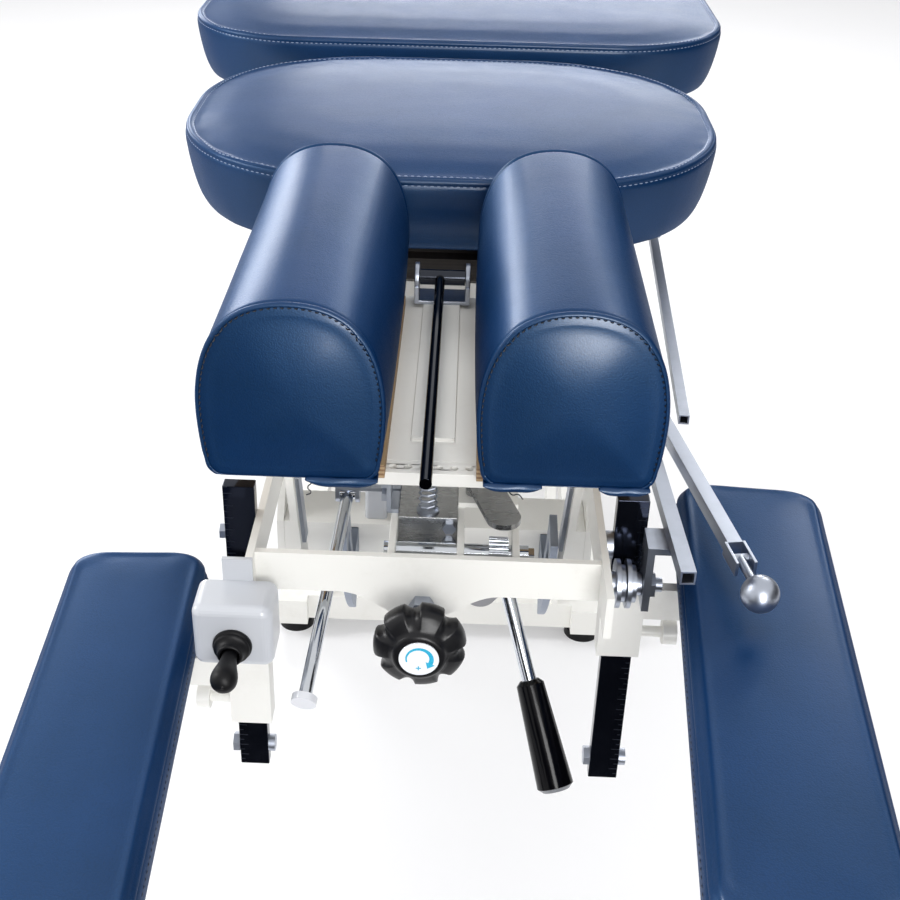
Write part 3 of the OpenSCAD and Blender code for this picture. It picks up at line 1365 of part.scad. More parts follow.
base_frame();
base_feet();
lower_shafts();
power_box();
front_lift_arm();
rear_lift_arm();
chassis_frame();
upper_shafts();
front_channel();
relay_housing();
head_pivot_shaft();
lever_brackets();
actuator_housing();
actuator_motor();
actuator_rod();
head_frame();
cheek_plates();
tilt_yoke();
tilt_strips();
tilt_quadrants();
spring_block();
head_hardware();
drop_spring();
drop_hinge_shaft();
drop_platform();
hole_bar();
face_boards();
face_cushion_left();
face_cushion_right();
paper_clamps();
paper_bar();
tension_knob();
knob_disc();
knob_shaft();
cocking_lever();
cocking_grip();
tongue_lever();
release_rod();
release_button();
switch_box();
switch_boot();
switch_lever();
arm_posts();
tilt_lock_lever();
right_sleeve();
left_sleeve();
right_pad_plate();
left_pad_plate();
right_arm_pad();
left_arm_pad();
inner_side_lever();
outer_side_lever();
chest_cushion();
chest_frame();
hip_cushion();
hip_frame();
leg_cushion();
leg_board();
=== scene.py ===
# %% [markdown]
# # A chiropractic table, dressed around its measured frame
# The steel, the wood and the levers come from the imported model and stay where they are.
# This lesson adds what a drawing program leaves out: the upholstery, the sewing, the
# finishes and the small parts. Loading the frame first means that every later piece can
# ask it for a place instead of guessing one.

# %% Load the frame
import math

import bpy
import numpy as np
from mathutils import Matrix, Vector


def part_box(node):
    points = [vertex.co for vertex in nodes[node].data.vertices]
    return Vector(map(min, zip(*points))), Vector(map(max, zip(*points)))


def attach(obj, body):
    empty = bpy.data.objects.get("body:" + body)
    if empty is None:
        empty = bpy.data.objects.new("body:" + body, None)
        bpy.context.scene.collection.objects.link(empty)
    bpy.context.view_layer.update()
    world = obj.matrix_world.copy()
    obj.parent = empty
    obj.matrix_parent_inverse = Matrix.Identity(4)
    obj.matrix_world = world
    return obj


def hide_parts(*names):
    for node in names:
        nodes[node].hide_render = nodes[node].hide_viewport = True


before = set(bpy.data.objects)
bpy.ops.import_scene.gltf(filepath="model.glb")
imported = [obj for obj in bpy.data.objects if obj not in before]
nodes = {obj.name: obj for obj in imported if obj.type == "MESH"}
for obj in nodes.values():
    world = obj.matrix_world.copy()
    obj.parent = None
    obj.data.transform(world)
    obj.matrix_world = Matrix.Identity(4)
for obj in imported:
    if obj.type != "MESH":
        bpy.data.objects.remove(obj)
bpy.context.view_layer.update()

# %% [markdown]
# All lengths are in metres. The table's makers would measure from the face cushions, so
# places on the head section are given in millimetres from the middle of the face
# cushions' near end, at the height of their underside. One helper turns such a place
# into the frame's metres, and another puts a new object into the scene.

# %% A measure from the head end
MM = 0.001
HEAD_END, CUSHION_LINE = 780, 750


def at(x, y, z):
    """A place on the head section, in millimetres, as a point of the frame."""
    return Vector((x, y - HEAD_END, z + CUSHION_LINE)) * MM


def link(name, data):
    made = bpy.data.objects.new(name, data)
    bpy.context.scene.collection.objects.link(made)
    return made


print("cushion line is at z =", at(0, 0, 0).z)

# %% [markdown]
# ## Camera
# The photograph looks down on the head end from standing height, a little to the right
# of the middle. A camera could be aimed at a target with a constraint, but the picture is
# also rolled by about a degree, so its three axes are worked out from yaw, pitch and roll
# and written straight into its matrix. The lens is given in pixels of a 900 pixel frame
# and turned into millimetres of a 36 mm sensor. The small shift is the photograph's
# own crop.

# %% Camera
FRAME_PIXELS, FOCAL_PIXELS, CENTRE_PIXEL, SENSOR = 900, 1334.93, 426, 36
YAW, PITCH, ROLL = 1.53396, 30.80621, 1.23189
CAMERA_PLACE = (0.016642, -1.502238, 1.205686)


def camera_axes(*degrees):
    """Right, up and backward axes of a camera that first looks along +Y."""
    yaw, pitch, roll = (math.radians(a) for a in degrees)
    flat = math.cos(pitch)
    ahead = Vector((-math.sin(yaw) * flat, math.cos(yaw) * flat, -math.sin(pitch)))
    level = Vector((math.cos(yaw), math.sin(yaw), 0))
    down = ahead.cross(level)
    right = level * math.cos(roll) - down * math.sin(roll)
    down = level * math.sin(roll) + down * math.cos(roll)
    return right, -down, -ahead


lens = bpy.data.cameras.new("camera")
lens.sensor_width = SENSOR
lens.lens = SENSOR * FOCAL_PIXELS / FRAME_PIXELS
lens.shift_x = (FRAME_PIXELS / 2 - CENTRE_PIXEL) / FRAME_PIXELS
camera = link("camera", lens)
axes = Matrix(camera_axes(YAW, PITCH, ROLL)).transposed()
camera.matrix_world = Matrix.Translation(CAMERA_PLACE) @ axes.to_4x4()
bpy.context.scene.camera = camera
print("lens", round(lens.lens, 2), "mm, shift", round(lens.shift_x, 4))

# %% [markdown]
# ## Shader sums
# A finish is mostly arithmetic on patterns: this noise times that, where the height is
# more than so much. Wiring Math nodes by hand hides the sum. Here an output socket is
# wrapped in a small class, so that `1 - cells` in Python adds the node itself.
# Everything that isn't a sum comes from one method, which sets a node's options first and
# then the values or links of its sockets.


# %% Shader sums
def sign(operation, swapped=False):
    """A method for one sign of arithmetic."""
    def add_node(self, other):
        return self.sum(operation, *((other, self) if swapped else (self, other)))
    return add_node


class Wire:
    """An output socket that can be used in a sum."""

    def __init__(self, finish, socket):
        self.finish, self.socket = finish, socket

    def sum(self, operation, *values, clamp=False):
        settings = {"operation": operation, "use_clamp": clamp}
        return self.finish.node("ShaderNodeMath", settings, dict(enumerate(values)))[0]

    __add__ = __radd__ = sign("ADD")
    __sub__, __rsub__ = sign("SUBTRACT"), sign("SUBTRACT", swapped=True)
    __mul__, __truediv__ = sign("MULTIPLY"), sign("DIVIDE")
    __pow__, __mod__ = sign("POWER"), sign("FLOORED_MODULO")
    __gt__, __lt__ = sign("GREATER_THAN"), sign("LESS_THAN")
    larger = sign("MAXIMUM")

    def size(self):
        return self.sum("ABSOLUTE", self)

    def clamped(self):
        return self.sum("MULTIPLY", self, 1.0, clamp=True)


class Finish:
    """A material, or the world, and the nodes that make it."""

    def __init__(self, owner):
        owner.use_nodes = True
        self.owner, self.tree = owner, owner.node_tree
        self.tree.nodes.clear()

    def node(self, kind, settings=(), sockets=()):
        """Adds a node, sets its options, then gives its sockets their values or links."""
        made = self.tree.nodes.new(kind)
        for key, value in dict(settings).items():
            setattr(made, key, value)
        for key, value in dict(sockets).items():
            socket = find(made.inputs, key)
            if isinstance(value, Wire):
                self.tree.links.new(value.socket, socket)
            else:
                socket.default_value = value
        return Outlets(self, made)

    def end(self, shader, output="ShaderNodeOutputMaterial"):
        """Sends a shader to the output."""
        self.node(output, {}, {"Surface": shader})
        return self.owner


def find(sockets, key):
    if isinstance(key, int):
        return sockets[key]
    return next(s for s in sockets if s.enabled and key in (s.name, s.identifier))


class Outlets:
    """The outputs of one node, by name or by number."""

    def __init__(self, finish, source):
        self.finish, self.source = finish, source

    def __getitem__(self, key):
        return Wire(self.finish, find(self.source.outputs, key))


print("shader sums ready")

# %% [markdown]
# Colours are read from a swatch as three numbers from 0 to 255, which is how the eye
# sees them, while a shader works in linear light. `swatch` makes the change once, and can
# take a share of a colour. `blend` mixes two colours with a Mix node, because a Math node
# would turn them grey. `ramp` bends a value by a few stops. The other helpers are the
# nodes that nearly every finish here needs.


# %% Colour, noise and bump
def swatch(tone, share=1.0, lift=0.0):
    """A colour as seen, 0 to 255, as linear light with full alpha."""
    seen = [min(255, c * share + lift) / 255 for c in tone]
    return [c / 12.92 if c <= 0.04045 else ((c + 0.055) / 1.055) ** 2.4 for c in seen] + [1.0]


def begin(name):
    """A new finish, and metres on the object, the same in every pose."""
    finish = Finish(bpy.data.materials.new(name))
    return finish, finish.node("ShaderNodeTexCoord")["Object"]


def blend(finish, share, first, second):
    sockets = {"Factor": share, "A": first, "B": second}
    return finish.node("ShaderNodeMix", {"data_type": "RGBA"}, sockets)["Result"]


def vector(finish, operation, first, second):
    settings = {"operation": operation}
    return finish.node("ShaderNodeVectorMath", settings, {0: first, 1: second})["Vector"]


def parts(finish, where):
    """The x, y and z of a vector."""
    split = finish.node("ShaderNodeSeparateXYZ", {}, {0: where})
    return [split[k] for k in "XYZ"]


def noise(finish, where, scale, detail=3.0, roughness=0.55, distortion=0.0, out="Fac"):
    sockets = {"Vector": where, "Scale": scale, "Detail": detail, "Roughness": roughness,
               "Distortion": distortion}
    return finish.node("ShaderNodeTexNoise", {}, sockets)[out]


def bump(finish, height, depth, strength):
    sockets = {"Height": height, "Distance": depth, "Strength": strength}
    return finish.node("ShaderNodeBump", {}, sockets)["Normal"]


def ramp(finish, value, stops):
    """The value at each place of a line, by stops of place and level."""
    made = finish.node("ShaderNodeValToRGB", {}, {"Fac": value})
    elements = made.source.color_ramp.elements
    while len(elements) < len(stops):
        elements.new(1)
    for element, (place, level) in zip(elements, stops):
        element.position, element.color = place, (level, level, level, 1)
    return made["Color"]


def patches(finish, where, scale, detail, low, high, roughness=0.55):
    """Soft-edged patches where a noise is high: 0 below low and 1 above high."""
    return ramp(finish, noise(finish, where, scale, detail, roughness), [(low, 0.0), (high, 1.0)])


def principled(finish, **sockets):
    """A Principled shader. Socket names are written with underscores."""
    named = {key.replace("_", " "): value for key, value in sockets.items()}
    return finish.node("ShaderNodeBsdfPrincipled", {}, named)["BSDF"]


def surface(finish, **sockets):
    return finish.end(principled(finish, **sockets))


print("navy in linear light:", [round(c, 3) for c in swatch((26, 58, 110))[:3]])

# %% [markdown]
# ## Leatherette
# The cushions wear navy vinyl with a leather grain. Real grain is a net of tiny domed
# cells with fine creases between them. It could be an image, but a Voronoi pattern whose
# place is nudged by noise gives the same net at any size and needs no unwrapping. The
# cells are about 1.1 mm wide. Under them a slow noise makes the hide uneven, and the
# gloss varies with the grain, since the tops of the cells are rubbed smoother. The gloss
# is a coat whose weight falls as the surface turns away, because rough vinyl shadows
# itself at a low angle. A twentieth of tinted metal adds the blue lustre near a lamp.


# %% Leatherette
GRAIN_DEPTH, VINYL_ROUGH, LUSTRE = 0.14 * MM, 0.40, 0.05
GLAZE = [(0.0, 0.8), (0.28, 0.36), (0.55, 0.16), (0.76, 0.10), (0.86, 0.0)]


def leatherette(name, tone):
    finish, where = begin(name)
    nudge = noise(finish, where, 420.0, 2.0, 0.5, out="Color")
    bent = vector(finish, "ADD", where, vector(finish, "MULTIPLY", nudge, (1.1 * MM,) * 3))
    net = {"Vector": bent, "Scale": 900.0, "Smoothness": 0.35}
    cells = finish.node("ShaderNodeTexVoronoi", {"feature": "SMOOTH_F1"}, net)["Distance"]
    pores = noise(finish, where, 2600.0, 1.0)
    drawn = vector(finish, "MULTIPLY", where, (0.45, 1.0, 1.0))
    creases = noise(finish, drawn, 260.0, 4.0, 0.62, 0.6)
    patch = patches(finish, where, 9.0, 3.0, 0.3, 0.7)
    # The creases between the cells are painted a little darker: painted shade in the grain.
    valley = ramp(finish, cells, [(0.35, 0.0), (0.75, 1.0)])
    colour = blend(finish, patch, swatch(tone, 0.92), swatch(tone, 1.08, 2))
    colour = blend(finish, valley * 0.35, colour, swatch(tone, 0.66))
    swell = noise(finish, where, 38.0, 2.0)
    rough = swell * 0.08 + cells * 0.08 + (VINYL_ROUGH - 0.07)
    grain = bump(finish, 1 - cells + pores * 0.25 + creases * 0.9, GRAIN_DEPTH, 0.7)
    facing = finish.node("ShaderNodeLayerWeight", {}, {"Blend": 0.5})["Facing"]
    vinyl = principled(finish, Base_Color=colour, Roughness=rough, IOR=1.5,
                       Specular_IOR_Level=0.02, Normal=grain,
                       Coat_Weight=ramp(finish, facing, GLAZE), Coat_Roughness=0.27)
    tint = blend(finish, patch, (0.16, 0.50, 0.96, 1), (0.20, 0.54, 1.0, 1))
    lustre = principled(finish, Base_Color=tint, Metallic=1.0, Roughness=rough + 0.08,
                        Specular_Tint=(0.2, 0.52, 1.0, 1), Normal=grain)
    mixed = finish.node("ShaderNodeMixShader", {}, {0: LUSTRE, 1: vinyl, 2: lustre})
    return finish.end(mixed["Shader"])


navy = leatherette("navy_leatherette", (0, 33, 74))
print("leatherette:", len(navy.node_tree.nodes), "nodes")

# %% [markdown]
# ## Paint
# The frame is powder coated. Powder melts on the steel and sets with a faint orange
# peel, which shows only where light rakes over it. A flat white would look like paper, so
# the coat gets a 3 mm ripple, a slow drift in tone, and a little grey where hands and
# shoes reach.


# %% Powder coat and enamel
def powder_coat(name, tone, soiled, rough):
    finish, where = begin(name)
    ripple = noise(finish, where, 330.0, 2.0)
    drift = noise(finish, where, 5.0, 3.0)
    rubbed = patches(finish, where, 26.0, 5.0, 0.55, 0.8, 0.7)
    specks = patches(finish, where, 700.0, 2.0, 0.70, 0.76)
    colour = blend(finish, drift * 0.35, swatch(tone), swatch(tone, 0.965))
    colour = blend(finish, rubbed * 0.18 + specks * 0.12, colour, swatch(soiled))
    rough = rough + ripple * 0.10 + rubbed * 0.12
    return surface(finish, Base_Color=colour, Roughness=rough, IOR=1.5, Coat_Weight=0.12,
                   Coat_Roughness=0.18, Normal=bump(finish, ripple, 0.05 * MM, 0.6))


white_coat = powder_coat("white_powder_coat", (240, 239, 234), (196, 190, 178), 0.38)
grey_coat = powder_coat("grey_enamel", (142, 142, 146), (96, 94, 92), 0.45)
print("paints:", white_coat.name, grey_coat.name)

# %% [markdown]
# ## Metals
# Three kinds of bright metal meet at the head end. Chrome is a mirror over polished
# steel, with hairline scratches along the rod. Zinc plate is duller and bluish, with
# cloudy patches. Brushed steel is drawn out in one direction. All of them are the same
# recipe with other numbers: a metal colour, a roughness that a stretched noise changes,
# and a bump from the same noise.


# %% Metals
ALONG_Y, ALONG_X, EVEN = (1, 0.08, 1), (0.06, 1, 1), (1.0, 1.0, 1.0)


def metal(name, tone, rough, streak, depth, clouds, stretch, tarnish):
    """Streak is the noise's scale, depth is in millimetres."""
    finish, where = begin(name)
    lines = noise(finish, vector(finish, "MULTIPLY", where, stretch), streak, 3.0, 0.65)
    cloudy = noise(finish, where, 60.0, 4.0, 0.6)
    stain = patches(finish, where, 22.0, 5.0, 0.52, 0.85, 0.7)
    colour = blend(finish, cloudy * 0.5, swatch(tone), swatch(tone, 0.88))
    colour = blend(finish, stain * tarnish, colour, swatch(tone, 0.55))
    rough = rough + lines * 0.10 + cloudy * clouds
    return surface(finish, Base_Color=colour, Metallic=1.0, Roughness=rough,
                   Normal=bump(finish, lines, depth * MM, 0.5))


chrome = metal("chrome", (206, 210, 216), 0.02, 900.0, 0.01, 0.04, ALONG_Y, 0.08)
# The paper bar is chrome given a dark colour: a painted reflection of the dark room that the rod
# mirrors.
paper_bar_painted_dark = metal("dark_bar_chrome", (58, 61, 68), 0.05, 900.0, 0.01, 0.04, ALONG_Y, 0.2)
zinc = metal("zinc_plate", (178, 184, 196), 0.20, 500.0, 0.03, 0.22, EVEN, 0.25)
brushed = metal("brushed_steel", (176, 177, 178), 0.16, 700.0, 0.02, 0.12, ALONG_X, 0.2)
frame_zinc = metal("galvanised_steel", (150, 158, 172), 0.28, 260.0, 0.04, 0.25, EVEN, 0.2)
print("metals:", chrome.name, zinc.name, brushed.name, frame_zinc.name)

# %% [markdown]
# The two posts that carry the arm rests are chrome in a very dark colour, a painted
# reflection of the dark room that they mirror. One edge of each has faint ruler marks so
# that both rests can be set to the same height. The marks are drawn by height in the
# shader: a thin line every 5 mm and a longer one every 10 mm, kept to a strip near one edge.


# %% Chrome posts painted dark, with ruler marks
MARK, SHORT_MARK, LONG_MARK = 0.9 * MM, 3.5 * MM, 6.5 * MM


def ruled_chrome(name, strips):
    """Strips give the x of an edge and the side of it on which its marks lie."""
    finish, where = begin(name)
    x, _, z = parts(finish, where)
    lines = noise(finish, where, 800.0, 3.0)
    smear = patches(finish, where, 34.0, 5.0, 0.5, 0.8, 0.7)
    marks = 0
    for edge, side in strips:
        inward = (x - edge) * side
        short = (inward < SHORT_MARK) * ((z % (5 * MM)) < MARK)
        tall = (inward < LONG_MARK) * ((z % (10 * MM)) < MARK)
        marks = (inward > 0.0) * (short + tall) + marks
    marks = marks.clamped()
    # Both dark tones are painted reflection of the dark room that the chrome mirrors; the smudges
    # move between them.
    colour = blend(finish, smear * 0.5, swatch((34, 38, 50)), swatch((52, 56, 68)))
    colour = blend(finish, marks * 0.05, colour, swatch((150, 156, 166)))
    rough = lines * 0.06 + smear * 0.10 + marks * 0.2 + 0.07
    return surface(finish, Base_Color=colour, Metallic=0.85, Roughness=rough,
                   Normal=bump(finish, lines, 0.02 * MM, 0.4))


post_low, post_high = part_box("arm_posts")
post_chrome_painted_dark = ruled_chrome("dark_chrome", [(post_low.x, 1), (post_high.x, -1)])
print("ruler marks run from", round(post_low.z, 3), "to", round(post_high.z, 3))

# %% [markdown]
# ## Plastics and rubber
# The knob and the lever's grip are black moulded plastic, one with a fine texture and one
# polished. The switch box is a milky white shell, and the release rod ends in a clear cap.
# Rubber feet and the switch's boot are matt. The lever's grip ends in a grey ring, found by
# its distance along the lever, which a sum of three products gives.


# %% Plastics and rubber
GRIP_START, GRIP_LINE, GRIP_LENGTH = at(47.5, 30, -74), (0.2722, -0.5459, -0.7923), 0.1612


def moulded(name, tone, rough, grain, scale, coat, worn, shine=0.5, ringed=False):
    """Grain is the bump's depth in millimetres, scale its noise's scale."""
    finish, where = begin(name)
    texture = noise(finish, where, scale, 2.0)
    handled = patches(finish, where, 45.0, 4.0, 0.5, 0.85, 0.65)
    colour = blend(finish, handled * worn, swatch(tone), swatch(tone, 0.8, 26))
    if ringed:
        ways = zip(parts(finish, where), GRIP_START, GRIP_LINE)
        run = sum((way - start) * share for way, start, share in ways)
        colour = blend(finish, run > GRIP_LENGTH, colour, swatch((120, 122, 126)))
    rough = rough + texture * 0.08 + handled * 0.06
    return surface(finish, Base_Color=colour, Roughness=rough, IOR=1.5, Specular_IOR_Level=shine,
                   Coat_Weight=coat, Coat_Roughness=0.04,
                   Normal=bump(finish, texture, grain * MM, 0.6))


knob_black = moulded("moulded_black", (17, 17, 20), 0.30, 0.06, 1200.0, 0.0, 0.10, 0.30)
gloss_black = moulded("polished_black", (4, 4, 7), 0.10, 0.004, 300.0, 0.0, 0.04, 0.17, True)
rubber = moulded("rubber", (10, 10, 13), 0.42, 0.05, 900.0, 0.0, 0.06, 0.22)
shell_white = moulded("milky_shell", (196, 199, 205), 0.26, 0.012, 260.0, 0.35, 0.04)
cap_clear = moulded("milky_cap", (214, 216, 222), 0.14, 0.01, 300.0, 0.6, 0.05)
print("plastics:", knob_black.name, gloss_black.name, shell_white.name)

# %% [markdown]
# Under the cushions there are dark boards and bare plywood. A board has a figure along its
# length, and its layers show only on its edges, as thin stripes in height. The geometry's
# own normal tells an edge from a face.


# %% Boards
LAYER = 1.6 * MM


def board(name, face, layers):
    finish, where = begin(name)
    figure = noise(finish, vector(finish, "MULTIPLY", where, (1.0, 0.07, 1.0)), 150.0, 5.0, 0.6, 0.4)
    ply = ((parts(finish, where)[2] + figure * (0.3 * MM)) % (2 * LAYER)) < LAYER
    tilt = finish.node("ShaderNodeNewGeometry")["Normal"]
    edge = (parts(finish, tilt)[2].size() < 0.5) * ply
    colour = blend(finish, figure, swatch(face), swatch(face, 0.78))
    colour = blend(finish, edge, colour, swatch(layers))
    return surface(finish, Base_Color=colour, Roughness=0.5 + figure * 0.2,
                   Normal=bump(finish, figure, 0.1 * MM, 0.5))


plywood = board("plywood", (196, 164, 122), (134, 100, 66))
dark_board = board("stained_board", (52, 45, 40), (38, 32, 28))
print("boards:", plywood.name, dark_board.name)

# %% [markdown]
# ## The knob's disc
# A printed disc in the middle of the knob shows which way to turn for more tension: a
# curved arrow and a plus sign. It is drawn in the shader from distance and angle round
# the disc's middle. The arrow is a band between two radii whose width grows along the
# turn, and its head is a triangle whose sides are two straight cuts.


# %% Knob disc
ARROW_RADIUS, ARROW_START, ARROW_STOP, ARROW_HEAD = 8.2 * MM, -1.9, 2.0, 4.6 * MM
PLUS_ARM, PLUS_HALF = 1.7 * MM, 0.4 * MM


def arrow_disc(name):
    low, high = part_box("knob_disc")
    middle = (low + high) / 2
    finish, where = begin(name)
    x, _, z = parts(finish, where)
    x, z = x - middle.x, z - middle.z
    away = (x * x + z * z) ** 0.5
    turn = x.sum("ARCTAN2", x, z)
    done = (turn - ARROW_START) / (ARROW_STOP - ARROW_START)
    half = done * (1.2 * MM) + 0.45 * MM
    band = ((away - ARROW_RADIUS).size() < half) * (done > 0.0) * (done < 1.0)
    out_x, out_z = math.sin(ARROW_STOP), math.cos(ARROW_STOP)
    from_x, from_z = x - ARROW_RADIUS * out_x, z - ARROW_RADIUS * out_z
    run = from_x * out_z - from_z * out_x
    side = (from_x * out_x + from_z * out_z).size()
    head = (run > 0.0) * (side < (ARROW_HEAD - run) * 0.72)
    plus_x, plus_z = (x + 0.2 * MM).size(), (z + 7.4 * MM).size()
    bars = [(PLUS_HALF, PLUS_ARM), (PLUS_ARM, PLUS_HALF)]
    plus = sum((plus_x < wide) * (plus_z < tall) for wide, tall in bars)
    paper = noise(finish, where, 900.0, 2.0)
    colour = blend(finish, paper * 0.3, swatch((243, 247, 252)), swatch((228, 234, 242)))
    colour = blend(finish, (band + head + plus).clamped(), colour, swatch((46, 176, 214)))
    return surface(finish, Base_Color=colour, Roughness=0.22 + paper * 0.1, Coat_Weight=0.5,
                   Coat_Roughness=0.06)


disc_print = arrow_disc("disc_print")

# %% [markdown]
# ## Finishes on the frame
# Each node of the frame already names the finish that it should have. Swapping materials
# by that name dresses all of them in one pass. The imported meshes are split along every
# edge, so a Weld modifier joins them before a Bevel rounds the arrises: no real edge is
# perfectly sharp, and the thin bright line that a bevel catches is what makes metal look
# like metal. Weighted normals keep the flats flat.

# %% Dress the frame
DRESS = {
    "leather": navy, "white_paint": white_coat, "white_plastic": shell_white, "zinc": zinc,
    "polished_steel": brushed, "chrome": chrome, "dark_chrome": post_chrome_painted_dark,
    "black_plastic": gloss_black, "black_matte": rubber, "rubber": rubber,
    "disc_face": disc_print, "clear_plastic": cap_clear, "plywood": plywood,
    "dark_board": dark_board, "grey_paint": grey_coat, "frame_zinc": frame_zinc,
}
OWN = {"tension_knob": knob_black, "paper_bar": paper_bar_painted_dark, "switch_lever": rubber}
EDGE, WELD, BEVEL_ANGLE = 0.7 * MM, 0.02 * MM, 32
OTHER_EDGES = {"arm_posts": 0.6 * MM, "drop_spring": 0, "knob_disc": 0, "knob_shaft": 0,
               "switch_box": 0}


def soften(piece, width):
    """Welds, bevels and smooths a piece, without touching its mesh."""
    piece.modifiers.new("weld", "WELD").merge_threshold = WELD
    if width:
        bevel = piece.modifiers.new("bevel", "BEVEL")
        bevel.width, bevel.segments = width, 2
        bevel.limit_method, bevel.angle_limit = "ANGLE", math.radians(BEVEL_ANGLE)
        bevel.use_clamp_overlap = True
    piece.modifiers.new("even", "WEIGHTED_NORMAL").keep_sharp = not width


for name, piece in nodes.items():
    for slot in piece.material_slots:
        slot.material = DRESS.get(slot.material.name.split(".")[0], white_coat)
    soften(piece, OTHER_EDGES.get(name, EDGE))
for name, finish in OWN.items():
    nodes[name].material_slots[0].material = finish
print("dressed", len(nodes), "nodes")

# %% [markdown]
# ## Floor
# The photograph was taken in a white studio. The floor is a large white plane that keeps
# the table's shadow. Its glow only reaches the camera, mirrors and glass, so the
# background is white without throwing more light on the object.


# %% Floor
def plane(name, corners, material):
    """A flat thing of the studio, which isn't a part of the table."""
    mesh = bpy.data.meshes.new(name)
    mesh.from_pydata(corners, [], [(0, 1, 2, 3)])
    mesh.materials.append(material)
    made = link(name, mesh)
    return made


def seen_straight(finish):
    """1 for the rays of the camera, of mirrors and of glass, and 0 for scattered light."""
    path = finish.node("ShaderNodeLightPath")
    mirror = path["Is Camera Ray"].larger(path["Is Glossy Ray"])
    return mirror.larger(path["Is Transmission Ray"])


paper, where = begin("studio_floor")
mottle = noise(paper, where, 3.0, 2.0)
tone = blend(paper, mottle, swatch((226, 226, 228)), swatch((230, 230, 232)))
matt = paper.node("ShaderNodeBsdfDiffuse", {}, {"Color": tone})["BSDF"]
glowing = {"Color": (1, 1, 1, 1), "Strength": seen_straight(paper) * 0.20}
glow = paper.node("ShaderNodeEmission", {}, glowing)["Emission"]
both = paper.node("ShaderNodeAddShader", {}, {0: matt, 1: glow})["Shader"]
floor = plane("floor", [(-9, -9, 0), (9, -9, 0), (9, 9, 0), (-9, 9, 0)], paper.end(both))
print("floor:", floor.dimensions[:])

# %% [markdown]
# ## World and lamps
# The world uses the same three kinds of ray. As light it is a plain pale grey, and to the
# camera, to mirrors and to glass it is the white backdrop. Softboxes add direction. One
# lamp for everything would either burn the white paint or leave the vinyl dull. So some
# of them only throw light, and no hard lamp shows in the vinyl, and some only show in
# gloss, where they draw the pale sheen along the cushions.

# %% World and lamps
WORLD_LIGHT, BACKDROP = 0.68, 1.0
LAMPS = [  # name, place, point it faces, width, height, watts, throws light, shows in gloss
    ("foot_softbox", (-0.4, 3.3, 3.1), (0, -0.2, 0.85), 2.2, 1.0, 85, True, False),
    ("sheen_softbox", (-2.05, 3.3, 1.5), (0, -0.3, 0.85), 1.5, 1.0, 88, False, True),
    ("low_softbox", (0.2, 3.4, 1.32), (0, -0.3, 0.85), 1.8, 0.5, 46, False, True),
    ("right_softbox", (2.0, 3.2, 2.9), (0.3, -0.6, 0.8), 1.0, 0.8, 30, False, True),
    ("end_softbox", (0.50, -3.0, 0.75), (0, -0.7, 0.8), 0.6, 0.5, 26, False, True),
    ("top_softbox", (0.0, -0.7, 3.3), (0, -0.6, 0.8), 1.6, 1.6, 14, True, False),
    ("side_softbox", (-2.4, -0.3, 1.9), (0, -0.6, 0.8), 0.7, 1.3, 34, True, True),
    ("head_softbox", (0.45, -3.0, 1.6), (0, -0.7, 0.75), 0.9, 0.9, 32, True, True),
]

world = bpy.data.worlds.new("studio")
bpy.context.scene.world = world
bpy.context.scene.view_settings.view_transform = "Standard"
sky = Finish(world)
plain, white = (
    sky.node("ShaderNodeBackground", {}, {"Color": (1, 1, 1, 1), "Strength": light})["Background"]
    for light in (WORLD_LIGHT, BACKDROP))
chosen = sky.node("ShaderNodeMixShader", {}, {0: seen_straight(sky), 1: plain, 2: white})
sky.end(chosen["Shader"], "ShaderNodeOutputWorld")

for name, place, aim, width, height, watts, lit, mirrored in LAMPS:
    lamp = bpy.data.lights.new(name, "AREA")
    lamp.shape, lamp.size, lamp.size_y, lamp.energy = "RECTANGLE", width, height, watts
    held = link(name, lamp)
    held.visible_diffuse, held.visible_glossy = lit, mirrored
    held.location = place
    held.rotation_euler = (Vector(aim) - Vector(place)).to_track_quat("-Z", "Y").to_euler()

# %% [markdown]
# A glossy thing only shows what stands round it, and in a white studio that would be
# nothing but white. The deep navy of the cushions' ends and the dark streaks on the rods
# come from the dark part of the room, below and behind the camera. Black cards that only
# mirrors can see put it back, as photographers do with black flags.

# %% Black cards
CARDS = {
    "card_on_floor": [(-1.9, -3.6, 0.01), (1.9, -3.6, 0.01), (1.9, -1.15, 0.01), (-1.9, -1.15, 0.01)],
    "card_behind": [(-2.2, -3.6, 0.01), (2.2, -3.6, 0.01), (2.2, -3.6, 1.9), (-2.2, -3.6, 1.9)],
    "card_right_back": [(1.5, 3.3, 0.02), (3.6, 2.6, 0.02), (3.6, 2.6, 1.7), (1.5, 3.3, 1.7)],
    "card_at_right": [(2.1, -2.6, 0.2), (2.1, 0.9, 0.2), (2.1, 0.9, 1.7), (2.1, -2.6, 1.7)],
}
felt, where = begin("card_black")
fluff = noise(felt, where, 40.0, 2.0)
shade = blend(felt, fluff, (0.010, 0.011, 0.014, 1), (0.016, 0.017, 0.020, 1))
card_black = felt.end(felt.node("ShaderNodeBsdfDiffuse", {}, {"Color": shade})["BSDF"])
for name, corners in CARDS.items():
    card = plane(name, corners, card_black)
    card.visible_camera = card.visible_diffuse = False
    card.visible_shadow = card.visible_transmission = False
print("black cards:", list(CARDS))

# %% [markdown]
# ## Making upholstery
# A cushion is panels of vinyl sewn edge to edge over foam. It could be sculpted, or
# remeshed and blown up, but then the seams must be cut in afterwards. Here each panel is a
# grid of points stretched between its seams. The grids are joined, the seams are pinned,
# and a cloth simulation with a little pressure inside swells the panels between them as
# foam does. The grids are then read back, sampled again with more rows next to the seams,
# and pressed in along the sewing.


# %% Curves and grids
def lengths(points):
    """How far along a line each of its points lies."""
    return np.r_[0, np.cumsum(np.linalg.norm(np.diff(points, axis=0), axis=1))]


def along(points, count):
    """Points at even steps along a line."""
    points = np.asarray(points, float)
    reach = lengths(points)
    steps = np.linspace(0, reach[-1], count)
    return np.column_stack([np.interp(steps, reach, way) for way in points.T])


